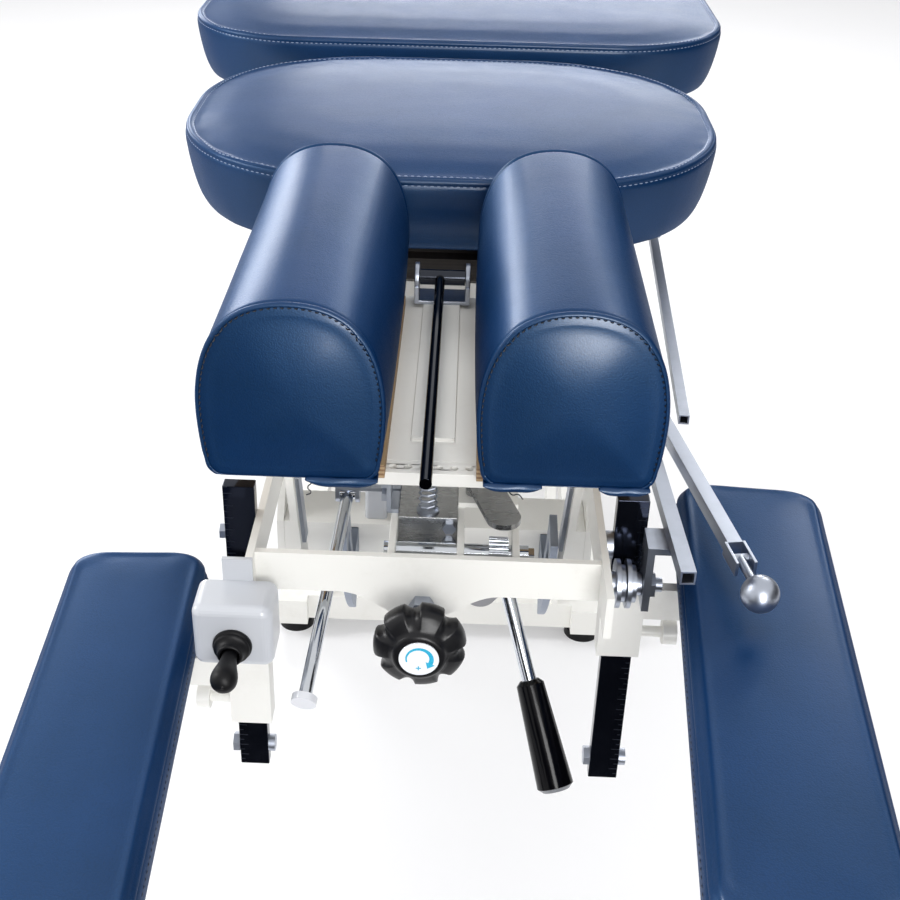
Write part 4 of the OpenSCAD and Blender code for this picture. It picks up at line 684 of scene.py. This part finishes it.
def rounded(points):
    """Cuts the corners of a closed line three times, which makes it smooth."""
    points = np.asarray(points, float)
    for _ in range(3):
        after = np.roll(points, -1, axis=0)
        cut = np.stack([points * 0.75 + after * 0.25, points * 0.25 + after * 0.75], 1)
        points = cut.reshape(-1, points.shape[1])
    return points


def edges_of(ring, counts):
    """A ring cut into bottom, right, top and left. All of them run to the right or up."""
    a, b, c, _ = np.cumsum(counts)
    closed = np.vstack([ring, ring[:1]])
    return closed[:a + 1], closed[a:b + 1], closed[b:c + 1][::-1], closed[c:][::-1]


def stretched(ring, counts):
    """A grid between the four edges of a ring."""
    bottom, right, top, left = edges_of(ring, counts)
    u = np.linspace(0, 1, len(bottom))[None, :, None]
    v = np.linspace(0, 1, len(left))[:, None, None]
    across = left[:, None] * (1 - u) + right[:, None] * u
    upward = bottom[None] * (1 - v) + top[None] * v
    low, high = bottom[0] * (1 - u) + bottom[-1] * u, top[0] * (1 - u) + top[-1] * u
    return across + upward - (low * (1 - v) + high * v)


def hemmed(grid, ring, counts):
    """The grid with its outer rows laid exactly on a ring."""
    grid[0], grid[:, -1], grid[-1], grid[:, 0] = edges_of(ring, counts)
    return grid


def sample(grid, rows, cols, round_rows=False):
    """The grid's smooth surface at other rows and columns, which may be fractions."""
    def pick(a, where, wrap):
        n = len(a)
        deep = (...,) + (None,) * (a.ndim - 1)
        i = np.floor(where).astype(int)
        if not wrap:
            i = np.clip(i, 0, n - 2)
        t = (where - i)[deep]
        p0, p1, p2, p3 = (a[(i + k) % n if wrap else np.clip(i + k, 0, n - 1)] for k in range(-1, 3))
        if not wrap:
            p0 = np.where((i == 0)[deep], 2 * p1 - p2, p0)
            p3 = np.where((i == n - 2)[deep], 2 * p2 - p1, p3)
        return 0.5 * (2 * p1 + (p2 - p0) * t + (2 * p0 - 5 * p1 + 4 * p2 - p3) * t**2
                      + (3 * p1 - p0 - 3 * p2 + p3) * t**3)
    down = pick(grid, np.asarray(rows, float), False)
    return pick(down.swapaxes(0, 1), np.asarray(cols, float), round_rows).swapaxes(0, 1)


print("an even line of 5:", along([(0, 0), (1, 0), (1, 1)], 5).tolist())

# %% [markdown]
# Grids that share an edge have the same points there, so rounding to a thousandth of a
# millimetre is enough to find and merge them. The first grid is a band that wraps round,
# and the others are the panels that close it.


# %% Join grids into one mesh
def joined(grids):
    """Points, faces, the point of every grid place, and the grid that each point belongs to."""
    points, faces, owners, start = [], [], [], 0
    for k, grid in enumerate(grids):
        m, n = grid.shape[:2]
        points.append(grid.reshape(-1, 3))
        owners.append(np.full(m * n, k))
        i, j = np.meshgrid(np.arange(m - 1), np.arange(n if k == 0 else n - 1), indexing="ij")
        after = (j + 1) % n
        quads = np.stack([i * n + j, i * n + after, (i + 1) * n + after, (i + 1) * n + j], -1)
        faces.append(quads.reshape(-1, 4) + start)
        start += m * n
    points = np.vstack(points)
    rough = np.round(points, 6)
    _, first, back = np.unique(rough, axis=0, return_index=True, return_inverse=True)
    back = back.reshape(-1)
    return points[first], back[np.vstack(faces)], back, np.concatenate(owners)[first]


def parted(points, back, grids):
    """The grids again, with the places that their points have now."""
    ends = np.cumsum([g.shape[0] * g.shape[1] for g in grids])
    return [points[back[end - g.shape[0] * g.shape[1]:end]].reshape(g.shape)
            for g, end in zip(grids, ends)]


def mesh_piece(name, points, faces, material):
    """A smooth shaded piece."""
    mesh = bpy.data.meshes.new(name)
    mesh.from_pydata([tuple(p) for p in points], [], faces)
    mesh.validate()
    mesh.polygons.foreach_set("use_smooth", [True] * len(mesh.polygons))
    mesh.materials.append(material)
    return link(name, mesh)


def quad_piece(name, points, faces):
    """A vinyl piece from four-cornered faces, some of which may have merged corners."""
    kept = [[v for k, v in enumerate(f) if v != f[k - 1]] for f in faces.tolist()]
    piece = mesh_piece(name, points.tolist(), [f for f in kept if len(f) > 2], navy)
    centre = Vector(points.mean(0))
    outward = sum((p.center - centre).dot(p.normal) * p.area for p in piece.data.polygons)
    if outward < 0:
        piece.data.flip_normals()
    return piece


def fit(piece, body, node=None):
    """Hides the node that a piece stands in for, and hangs the piece on what it rides on."""
    if node:
        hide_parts(node)
    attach(piece, body)


print("grids can be joined")

# %% [markdown]
# The simulation runs on a copy. Pinned points hold the seams and the board side. After
# twenty frames the movement is eased off against a cap, so that no panel leaves the space
# that its foam has. Only the moved points are kept, so no simulation stays on the piece.

# %% Swell a cushion
FRAMES, PRESSURE = 20, 4.0


def swollen(points, faces, pinned, cap):
    """The points after a cloth simulation with pressure inside, moved no further than cap."""
    trial = quad_piece("trial", points, faces)
    group = trial.vertex_groups.new(name="pinned")
    group.add([int(v) for v in np.flatnonzero(pinned)], 1.0, "REPLACE")
    cloth = trial.modifiers.new("cloth", "CLOTH")
    how = cloth.settings
    how.quality, how.mass = 6, 0.3
    how.vertex_group_mass = "pinned"
    how.tension_stiffness = how.compression_stiffness = 14
    how.shear_stiffness, how.bending_stiffness = 6, 1.2
    how.use_pressure, how.uniform_pressure_force = True, PRESSURE
    how.effector_weights.gravity = 0
    cloth.point_cache.frame_start, cloth.point_cache.frame_end = 1, FRAMES
    for step in range(1, FRAMES + 1):
        bpy.context.scene.frame_set(step)
    done = trial.evaluated_get(bpy.context.evaluated_depsgraph_get())
    move = np.array([v.co for v in done.data.vertices], float) - points
    bpy.data.objects.remove(trial)
    bpy.context.scene.frame_set(1)
    length = np.linalg.norm(move, axis=1, keepdims=True)
    print("  moved up to", round(float(length.max()) / MM, 1), "mm, capped at", cap / MM)
    return points + move * (cap * np.tanh(length / cap) / np.maximum(length, 1e-9))


print("cloth runs for", FRAMES, "frames")

# %% [markdown]
# ## Seams and stitches
# Where two panels meet, the vinyl is pulled into a narrow valley. Beside it lies the
# doubled seam allowance as a low ridge, held down by a row of top stitching 6.1 mm from
# the seam. The profiles give the depth of all this at a few distances from the seam, and
# the finer grid has a row of points at each of those distances.

# %% Steps for the finer grid
SEAM_STEPS = [0, 0.7, 1.6, 2.8, 4.2, 5.3, 6.1, 6.9, 8.5, 11.5]
RIDGE = [-1.5, -0.5, 0.35, 0.7, 0.6, 0.1, -0.45, -0.1, 0.1, 0]
VALLEY = [-1.5, -1.1, -0.7, -0.35, -0.15, -0.05, 0, 0, 0, 0]
FOLD = [-2.1, -0.4, 1.0, 1.35, 1.15, 0.3, -0.9, -0.35, 0.15, 0]
DITCH = [-2.1, -2.0, -1.5, -0.9, -0.4, -0.15, 0, 0, 0, 0]
STITCH_LINE = 6.1 * MM


def finer(count, spacing, both=True):
    """Places along a row of count points, in steps, with more of them next to its ends."""
    length = (count - 1) * spacing
    close = [d * MM for d in SEAM_STEPS if d * MM < length * 0.4]
    first = close[-1] + 0.5 * spacing
    last = length - first if both else length
    middle = np.linspace(first, last, max(3, int(round((last - first) / spacing)) + 1))
    ends = [length - d for d in reversed(close)] if both else []
    return np.unique(np.round(close + middle.tolist() + ends, 7)) / spacing


def all_round(steps, counts):
    """The steps of the sides of a ring, one after another."""
    starts = np.r_[0, np.cumsum(counts)[:-1]]
    return np.concatenate([(s + a)[:-1] for s, a in zip(steps, starts)])


def row_at(steps, spacing):
    """The row that lies nearest to the stitch line."""
    return int(np.argmin(np.abs(steps * spacing - STITCH_LINE)))


print("steps near a seam:", np.round(finer(20, 0.006), 2)[:8])

# %% [markdown]
# A bump in the material could show the seams, but not on the outline of a cushion. So the
# points themselves are moved along their normals, by the profile of the panel that they
# belong to.


# %% Press in the sewing
def nearest(points, line):
    """Distance of each point from a closed line of points."""
    best = np.empty(len(points))
    ab = np.roll(line, -1, axis=0) - line
    size = np.maximum((ab**2).sum(1), 1e-12)
    for start in range(0, len(points), 2000):
        p = points[start:start + 2000, None]
        t = np.clip(((p - line) * ab).sum(2) / size, 0, 1)
        gap = np.linalg.norm(p - (line + ab * t[..., None]), axis=2)
        best[start:start + 2000] = gap.min(1)
    return best


def vertex_normals(points, faces):
    normals = np.zeros_like(points)
    a, b, c, d = (points[faces[:, k]] for k in range(4))
    cross = np.cross(c - a, d - b)
    for k in range(4):
        np.add.at(normals, faces[:, k], cross)
    return normals / np.maximum(np.linalg.norm(normals, axis=1, keepdims=True), 1e-12)


def sewn(points, faces, owners, line, profiles):
    """Moves points along their normals by the profile of the panel that they belong to."""
    out = vertex_normals(points, faces)
    if ((points - points.mean(0)) * out).sum() < 0:
        out = -out
    away = nearest(points, line) * 1000
    depth = np.zeros(len(points))
    for owner, how_deep in profiles.items():
        mine = owners == owner
        depth[mine] = np.interp(away[mine], SEAM_STEPS, how_deep, right=0)
    return points + out * depth[:, None] * MM, out


print("ridge is", max(RIDGE), "mm high, stitch line at", round(STITCH_LINE / MM, 1), "mm")

# %% [markdown]
# The stitches are real threads: short, round-ended capsules set half into the vinyl, every
# 5.5 mm. A texture could show them, but only a real thread casts its own small shadow.
# Their pitch is evened out, so that the last stitch meets the first. Where an end panel is
# whipped on, the stitches lean.


# %% Threads
def closed_tube(rows, around, start=0):
    """Faces between rings of points, with both ends closed."""
    def ring(i):
        return [start + i * around + k for k in range(around)]
    faces = []
    for i in range(rows - 1):
        low, high = ring(i), ring(i + 1)
        faces += [[low[k], low[(k + 1) % around], high[(k + 1) % around], high[k]]
                  for k in range(around)]
    return faces + [ring(0), ring(rows - 1)[::-1]]


CAPSULE, CAPSULE_SIDES = [(-1, 0.25), (-0.8, 0.8), (0, 1.0), (0.8, 0.8), (1, 0.25)], 6


def stitches(name, body, line, normals, material, length=4.0, pitch=5.5, thick=0.95, sunk=0.1,
             lean=0.0, round_trip=True):
    """Capsules along a line, each lying on the surface that the normals give."""
    if round_trip:
        line, normals = (np.vstack([a, a[:1]]) for a in (line, normals))
    reach = lengths(line)
    count = int(reach[-1] / (pitch * MM))

    def read(a, s):
        where = s % reach[-1] if round_trip else s
        return np.array([np.interp(where, reach, way) for way in a.T])

    r, points, faces = thick * MM / 2, [], []
    for k in range(count):
        s = (k + 0.5) * reach[-1] / count
        middle, up = read(line, s), read(normals, s)
        up /= np.linalg.norm(up)
        run = read(line, s + 0.0015) - read(line, s - 0.0015)
        run /= np.linalg.norm(run)
        side = np.cross(run, up)
        run, side = (run * math.cos(lean) + side * math.sin(lean),
                     side * math.cos(lean) - run * math.sin(lean))
        faces += closed_tube(len(CAPSULE), CAPSULE_SIDES, len(points))
        for t, w in CAPSULE:
            lift = (0.15 - 0.55 * t * t - sunk) * r * 2
            centre = middle + run * t * length * MM / 2 + up * lift
            points += [centre + r * w * (math.cos(a) * side + math.sin(a) * up)
                       for a in np.linspace(0, 2 * math.pi, CAPSULE_SIDES, endpoint=False)]
    fit(mesh_piece(name, points, faces, material), body)
    print("  ", name, count, "stitches")


def threads(name, tone):
    finish, where = begin(name)
    twist = noise(finish, where, 2200.0, 2.0)
    colour = blend(finish, twist, swatch(tone), swatch(tone, 0.7))
    return surface(finish, Base_Color=colour, Roughness=0.42 + twist * 0.2,
                   Normal=bump(finish, twist, 0.06 * MM, 0.8))


thread = threads("navy_thread", (58, 88, 140))
thread_pale = threads("pale_thread", (150, 170, 205))
thread_dark = threads("dark_thread", (10, 16, 36))
print("threads:", thread.name, thread_pale.name)

# %% [markdown]
# ## Face cushions
# The head rests on two long cushions with an arched section, so that the face can hang
# between them. Each is a sleeve of vinyl closed by an end panel at either end. The section
# is a closed line with rounded lower corners, and the end panels are grids stretched in
# that line, slightly domed. The sleeve's edge carries the ridge and the top stitching,
# while the end panel drops into the valley.

# %% Face cushions
ARCH = [(0.9, 0), (0.955, 0.1), (0.985, 0.24), (1, 0.4), (0.985, 0.53), (0.93, 0.67),
        (0.83, 0.79), (0.68, 0.89), (0.48, 0.955), (0.25, 0.99), (0, 1)]
PER_SIDE = 24
END_ROOM, COVER_ROOM, END_SWELL, END_REACH = 7 * MM, 2.5 * MM, 8 * MM, 58 * MM
WHIPPED = {"length": 3.4, "pitch": 4.2, "thick": 1.0, "sunk": -0.2, "round_trip": False}


def arch_section(width, height):
    """The closed section from the lower left corner, with PER_SIDE points to a side."""
    half = [(s * width / 2, t * height) for s, t in ARCH]
    base = [(s * width / 2, 0) for s in (-0.5, 0, 0.5)]
    fine = rounded(base + half + [(-x, z) for x, z in reversed(half[:-1])])
    corner = np.array([width / 2 * 0.93, height * 0.035])
    right, left = (int(np.argmin(((fine - corner * [side, 1]) ** 2).sum(1))) for side in (1, -1))
    fine = np.roll(fine, -left, axis=0)
    right = (right - left) % len(fine)
    under = along(fine[:right + 1], PER_SIDE + 1)
    over = along(np.vstack([fine[right:], fine[:1]]), 3 * PER_SIDE + 1)
    return np.vstack([under[:-1], over[:-1]])


def upholster(name, points, faces, node, body):
    """Makes a piece of a finished cover, with one level of smoothing."""
    cover = quad_piece(name, points, faces)
    smooth = cover.modifiers.new("smooth", "SUBSURF")
    smooth.levels = smooth.render_levels = 1
    fit(cover, body, node=node)
    print(name, "has", len(points), "points")


def face_cushion(name, node, body="head_platform"):
    low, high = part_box(node)
    y0, y1 = low.y + END_ROOM, high.y - END_ROOM
    width, height = high.x - low.x - COVER_ROOM, high.z - low.z - COVER_ROOM
    x0, z0 = (low.x + high.x) / 2, low.z
    section = arch_section(width, height)
    rows = int(round((y1 - y0) / (6 * MM))) + 1
    spacing = (y1 - y0) / (rows - 1)

    def ring(y):
        """The section at y, drawn in next to the ends, with its flat underside kept."""
        tight = 1 - 0.022 * math.exp(-min(y - y0, y1 - y) / (6 * MM))
        x, z, middle = section[:, 0] * tight, section[:, 1], height / 2
        z = np.where(z > 4 * MM, middle + (z - middle) * tight, z)
        return np.column_stack([x + x0, np.full(len(x), y), z + z0])

    counts = [PER_SIDE] * 4
    grids = [np.array([ring(y) for y in np.linspace(y0, y1, rows)])]
    for edge, outward in ((grids[0][0], -1), (grids[0][-1], 1)):
        panel = stretched(edge, counts)
        rim = nearest(panel.reshape(-1, 3), edge).reshape(panel.shape[:2])
        swell = 1 - (1 - np.clip(rim / END_REACH, 0, 1)) ** 2
        panel[..., 1] += outward * END_SWELL * swell
        grids.append(panel)
    points, faces, back, _ = joined(grids)
    pinned = (points[:, 2] < z0 + 1.5 * MM) & (np.abs(points[:, 0] - x0) < width * 0.45)
    around = sum(counts)
    pinned[back[:around]] = pinned[back[(rows - 1) * around:rows * around]] = True
    moved = swollen(points, faces, pinned, 3.5 * MM)
    moved[:, 2] = np.maximum(moved[:, 2], z0)
    sleeve, near_end, far_end = parted(moved, back, grids)

    side, down = finer(PER_SIDE + 1, 4.5 * MM), finer(rows, spacing)
    turn = all_round([side] * 4, counts)
    sleeve = sample(sleeve, down, turn, True)
    ends = [hemmed(sample(end, side, side), rim, [len(side) - 1] * 4)
            for end, rim in ((near_end, sleeve[0]), (far_end, sleeve[-1]))]
    points, faces, back, owner = joined([sleeve, ends[0][:, ::-1], ends[1]])
    for rim in (sleeve[0], sleeve[-1]):
        points, out = sewn(points, faces, owner, rim, {0: FOLD, 1: DITCH, 2: DITCH})
    points[:, 2] = np.maximum(points[:, 2], z0 + 0.1 * MM)
    upholster(name, points, faces, node, body)

    rings = back[:sleeve.shape[0] * sleeve.shape[1]].reshape(sleeve.shape[:2])
    row = row_at(down, spacing)
    for label, seam, edge, lean in (("near", rings[row], rings[0], 0.6),
                                    ("far", rings[-1 - row], rings[-1], -0.6)):
        stitches(f"{name}_stitches_{label}", body, points[seam], out[seam], thread)
        over = np.flatnonzero(points[edge][:, 2] > z0 + 12 * MM)
        steps = np.diff(over)
        edge = edge[np.roll(over, -int(np.argmax(steps)) - 1 if steps.max() > 1 else 0)]
        stitches(f"{name}_whip_{label}", body, points[edge], out[edge], thread_dark,
                 lean=lean, **WHIPPED)


for hand in ("left", "right"):
    face_cushion(f"{hand}_face_cover", f"face_cushion_{hand}")

# %% [markdown]
# ## Body cushions and arm rests
# The chest, hip and leg cushions and the two arm rests are boxed cushions: a crowned top
# panel, a band that leans in toward the board, and rows of stitches where they meet, two
# on the body cushions and one on the arm rests. One function makes them all from an
# outline, so a change in how they are sewn reaches every one. The outline is split at the
# middle of its four corners, because a grid stretched between those points stays even.

# %% Boxed cushions
BAND = [(1, 0), (0.72, 0.1), (0.4, 0.32), (0.14, 0.6), (0.02, 0.8), (0.02, 0.88), (0.08, 0.95),
        (0.2, 1)]
CROWN = ([0, 0.025, 0.08, 0.18, 0.36, 0.62, 1], [0, 0.2, 0.45, 0.7, 0.9, 0.985, 1])
ROLLED = ([0, 0.015, 0.04, 0.10, 0.17, 0.27, 0.6, 1], [0, 0.24, 0.44, 0.68, 0.82, 0.91, 0.98, 1])


def outline(width, length, radius):
    """The four sides of a rounded rectangle, from the middle of its lower left corner."""
    radius = max(radius, 4 * MM)
    x, y = width / 2 - radius, length / 2 - radius

    def arc(cx, cy, start):
        return [(cx + radius * math.cos(math.radians(a)), cy + radius * math.sin(math.radians(a)))
                for a in np.linspace(start, start + 45, 12)]

    return [arc(-x, -y, 225) + arc(x, -y, 270), arc(x, -y, 315) + arc(x, y, 0),
            arc(x, y, 45) + arc(-x, y, 90), arc(-x, y, 135) + arc(-x, -y, 180)]


def ring_at(width, length, radius, counts, inset, z):
    sides = outline(width - 2 * inset, length - 2 * inset, radius - inset)
    flat = np.vstack([along(s, n + 1)[:-1] for s, n in zip(sides, counts)])
    return np.column_stack([flat, np.full(len(flat), z)])


def boxed_cushion(name, node, body, size, tuck, place, step, cap, sewing_thread, double=True):
    """Size is width, length, radius, side and crown; place is the matrix of the underside."""
    width, length, radius, side, crown = size
    sides = [lengths(s)[-1] for s in outline(width, length, radius)]
    counts = [max(8, int(round(sides[k % 2] / step))) for k in range(4)]
    levels = np.linspace(1, 0, max(7, int(side / min(step, 8 * MM)) + 1))
    lean, rise = np.array(BAND).T
    insets = np.interp(levels, rise, lean) * tuck
    band = np.array([ring_at(width, length, radius, counts, i, v * side)
                     for i, v in zip(insets, levels)])
    top, under = stretched(band[0], counts), stretched(band[-1], counts)
    rim = nearest(top.reshape(-1, 3), band[0]).reshape(top.shape[:2]) / (min(width, length) / 2)
    top[..., 2] += np.interp(rim, *(CROWN if double else ROLLED)) * (crown - cap * 0.7)
    points, faces, back, _ = joined([band, top, under])
    around, total = sum(counts), len(band) * sum(counts)
    pinned = np.zeros(len(points), bool)
    for held in (slice(around), slice(total - around, total),
                 slice(total + top.shape[0] * top.shape[1], None)):
        pinned[back[held]] = True
    moved = swollen(points, faces, pinned, cap)
    band, top, _ = parted(moved, back, [band, top, under])

    steps = [finer(n + 1, step) for n in counts]
    turn = all_round(steps, counts)
    drop = side / (len(levels) - 1)
    down = finer(len(levels), drop, both=False)
    band = sample(band, down, turn, True)
    counts = [len(s) - 1 for s in steps]
    top = hemmed(sample(top, steps[1], steps[0]), band[0], counts)
    points, faces, back, owner = joined([band, top[:, ::-1], stretched(band[-1], counts)])
    profiles = {0: RIDGE if double else VALLEY, 1: RIDGE}
    points, out = sewn(points, faces, owner, band[0], profiles)
    points = np.array([place @ Vector(p) for p in points])
    out = np.array([place.to_3x3() @ Vector(p) for p in out])
    upholster(name, points, faces, node, body)

    row, around, (m, n) = row_at(down, drop), len(turn), top.shape[:2]
    seams = [("band", back[row * around:(row + 1) * around])]
    index = np.arange(m * n).reshape(m, n)[:, ::-1] + len(down) * around
    k = row_at(steps[0], step)
    inner = index[k:m - k, k:n - k]
    loop = np.concatenate([inner[0, :-1], inner[:-1, -1], inner[-1, :0:-1], inner[:0:-1, 0]])
    seams.append(("top", back[loop]))
    for label, seam in seams if double else seams[:1]:
        stitches(f"{name}_stitches_{label}", body, points[seam], out[seam], sewing_thread)


BODY_TUCK, BODY_SIDE, BODY_CROWN = 14 * MM, 68, 19
for name, node, body, width, length, radius, first_y in [
    ("chest_cover", "chest_cushion", "chest", 500, 395, 170, 352),
    ("hip_cover", "hip_cushion", "hip", 640, 480, 140, 817),
    ("leg_cover", "leg_cushion", "chassis", 560, 513, 80, 1337),
]:
    put = Matrix.Translation(at(0, first_y + length / 2, 10))
    size = [v * MM for v in (width, length, radius, BODY_SIDE, BODY_CROWN)]
    boxed_cushion(name, node, body, size, BODY_TUCK, put, 9 * MM, 7 * MM, thread_pale)

# %% [markdown]
# The arm rests are the same boxed cushion, long and thin, on plates that swivel on the
# posts. The left one stands lower and is turned a little the other way, so each gets a
# matrix that turns it about its own swivel.

# %% Arm rests
REST_SIZE = [v * MM for v in (106, 405, 24, 31, 16)]
SWIVEL_Y, REST_MIDDLE = 46, -133 * MM
for name, node, body, swivel_x, turn in [
    ("right_arm_cover", "right_arm_pad", "right_pad", 225, -4.5),
    ("left_arm_cover", "left_arm_pad", "left_pad", -220, 3.0),
]:
    swivel = at(swivel_x, SWIVEL_Y, 0)
    swivel.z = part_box(node)[0].z
    turned = Matrix.Rotation(math.radians(turn), 4, "Z")
    put = Matrix.Translation(swivel) @ turned @ Matrix.Translation((0, REST_MIDDLE, 0))
    boxed_cushion(name, node, body, REST_SIZE, 3.6 * MM, put, 6 * MM, 3 * MM, thread_dark, False)

# %% [markdown]
# ## Loose corners of the vinyl
# Under the near corners of the face cushions the vinyl is folded over and stapled, and the
# folds hang a few millimetres below, with a thread end sticking out. They could be left
# out, but they are what tells a sewn cushion from a moulded one. Each is a small rolled
# grid with a fold line near its lowest row.

# %% Folds and thread ends
FLAP = [(2.5, 1.5), (0.2, -0.4), (-0.4, -2.2), (0.8, -4.4), (3.2, -5.2), (7.0, -3.6), (13.0, 0.6)]
FLAP_COLUMNS, FLAP_DROP, FLAP_Y = 22, 5.2, -1


def fold(name, x_start, x_stop, drop):
    """A flap from x_start to x_stop under a cushion's near end, in millimetres."""
    points, n = [], FLAP_COLUMNS
    for row, (back_by, down_by) in enumerate(FLAP):
        for u in (k / (n - 1) for k in range(n)):
            full = max(0.0, 1 - abs(2 * u - 1) ** 3.5)
            wave = 0.5 * math.sin(9 * u + row) * full
            z = down_by * (drop / FLAP_DROP) * full if down_by < 0 else down_by
            x = x_start + (x_stop - x_start) * u
            points.append(at(x, FLAP_Y + back_by + wave, z + 0.15 * wave))
    faces = [(r * n + k, r * n + k + 1, (r + 1) * n + k + 1, (r + 1) * n + k)
             for r in range(len(FLAP) - 1) for k in range(n - 1)]
    flap = mesh_piece(name, points, faces, navy)
    thick = flap.modifiers.new("thick", "SOLIDIFY")
    thick.thickness, thick.offset = 1.1 * MM, 0
    flap.modifiers.new("smooth", "SUBSURF").render_levels = 1
    fit(flap, "head_platform")


def thread_end(name, places):
    line = bpy.data.curves.new(name, "CURVE")
    line.dimensions, line.bevel_depth, line.bevel_resolution = "3D", 0.4 * MM, 2
    spline = line.splines.new("BEZIER")
    spline.bezier_points.add(len(places) - 1)
    for point, place in zip(spline.bezier_points, places):
        point.co = at(*place)
        point.handle_left_type = point.handle_right_type = "AUTO"
    line.materials.append(thread_dark)
    fit(link(name, line), "head_platform")


fold("left_fold", -80, -33, 6.0)
fold("right_fold_inner", 34, 72, 5.0)
fold("right_fold_outer", 108, 141, 5.0)
thread_end("left_thread_end", [(-76, 0, -3), (-78, -2, -5), (-76, -3, -8), (-79, -3, -10)])
thread_end("right_thread_end", [(50, 0, -2), (53, -2, -5), (57, -3, -4), (60, -4, -7)])
print("three folds and two thread ends")

# %% [markdown]
# ## The tension knob
# The knob is moulded: seven broad lobes with scoops between them, soft edges, and a low
# raised ring round the printed disc. A ring of cylinders would leave hard edges where they
# cross, so the surface is drawn row by row, as a turner would write it down: each row has
# a distance along the axis, a radius, and a share of the scoop's depth, which fades toward
# the middle and the back.

# %% Tension knob
KNOB_MIDDLE = at(-3, -29, -100)
KNOB_ROWS = [(0, 5.6, 0), (0, 12, 0), (0, 20, 0.3), (0.8, 26, 0.75), (2.4, 29.2, 1),
             (5.5, 30.4, 1), (9, 30.7, 1), (12.5, 30.4, 1), (15, 29.3, 0.98), (17, 27.2, 0.8),
             (18.6, 24, 0.5), (19.9, 20.6, 0.2), (20.8, 18.4, 0.03), (22.2, 17.6, 0),
             (23.2, 17, 0), (23.8, 15.9, 0), (24, 14.5, 0), (24, 12, 0), (24, 5, 0)]
LOBES, SCOOP_HALF, SCOOP_DEPTH, SCOOP_RISE = 7, 0.21, 4.8, 0.5


def scoop(angle):
    """How deep the scoop is at an angle, 0 on a lobe and 1 in the middle of a scoop."""
    off = abs((angle * LOBES / (2 * math.pi)) % 1 - 0.5) / SCOOP_HALF
    return (1 - off * off) ** 0.8 if off < 1 else 0.0


def lathed(name, node, body, rows, middle, material, around=56, start=0.0):
    """A turned piece round a line toward the head end, from rows in millimetres."""
    points = []
    for away, radius, *share in rows:
        for angle in (2 * math.pi * k / around for k in range(around)):
            deep = share[0] * scoop(angle) if share else 0
            r, a = radius - SCOOP_DEPTH * deep, angle + start
            way = Vector((r * math.cos(a), SCOOP_RISE * deep - away, r * math.sin(a)))
            points.append(middle + way * MM)
    piece = mesh_piece(name, points, closed_tube(len(rows), around), material)
    fit(piece, body, node)
    print(name, "rows:", len(rows), "points:", len(points))


lathed("lobed_knob", "tension_knob", "knob", KNOB_ROWS, KNOB_MIDDLE, knob_black,
       196, math.radians(90 - 16))

# %% [markdown]
# ## Boot and stick
# The lift switch has a rubber boot with two rings and a cup, and its stick is one smooth
# drop. Both are lathed like the knob but have no scoops, so their rows are only a distance
# from the box's face and a radius. They stand in for the plain cone and the faceted bulb
# of the frame.

# %% Boot and stick
BOOT = [(0, 6.4), (0, 13), (1.4, 13), (2.3, 12.6), (2.7, 11.7), (3.1, 11.5), (3.9, 12),
        (4.7, 11.8), (5.3, 10.9), (5.7, 10), (7.5, 8.9), (9.6, 8.2), (10.6, 8.4), (11.5, 8.2),
        (12, 7.3), (11.8, 6.4), (9, 6.3), (4, 6.3)]
STICK = [(-7, 3.6), (0, 4.2), (9, 4.6), (13, 5.0), (17, 5.5), (21, 6.2), (25, 7.2), (28.5, 8.1),
         (31.5, 8.6), (34, 8.75), (36.5, 8.45), (38.8, 7.5), (40.6, 6), (41.8, 4), (42.3, 2),
         (42.4, 0.4)]
boot_low, boot_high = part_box("switch_boot")
on_face = (boot_low + boot_high) / 2
on_face.y = boot_high.y
lathed("rubber_boot", "switch_boot", "head", BOOT, on_face, rubber)
lathed("stick_drop", "switch_lever", "stick", STICK, on_face, rubber)
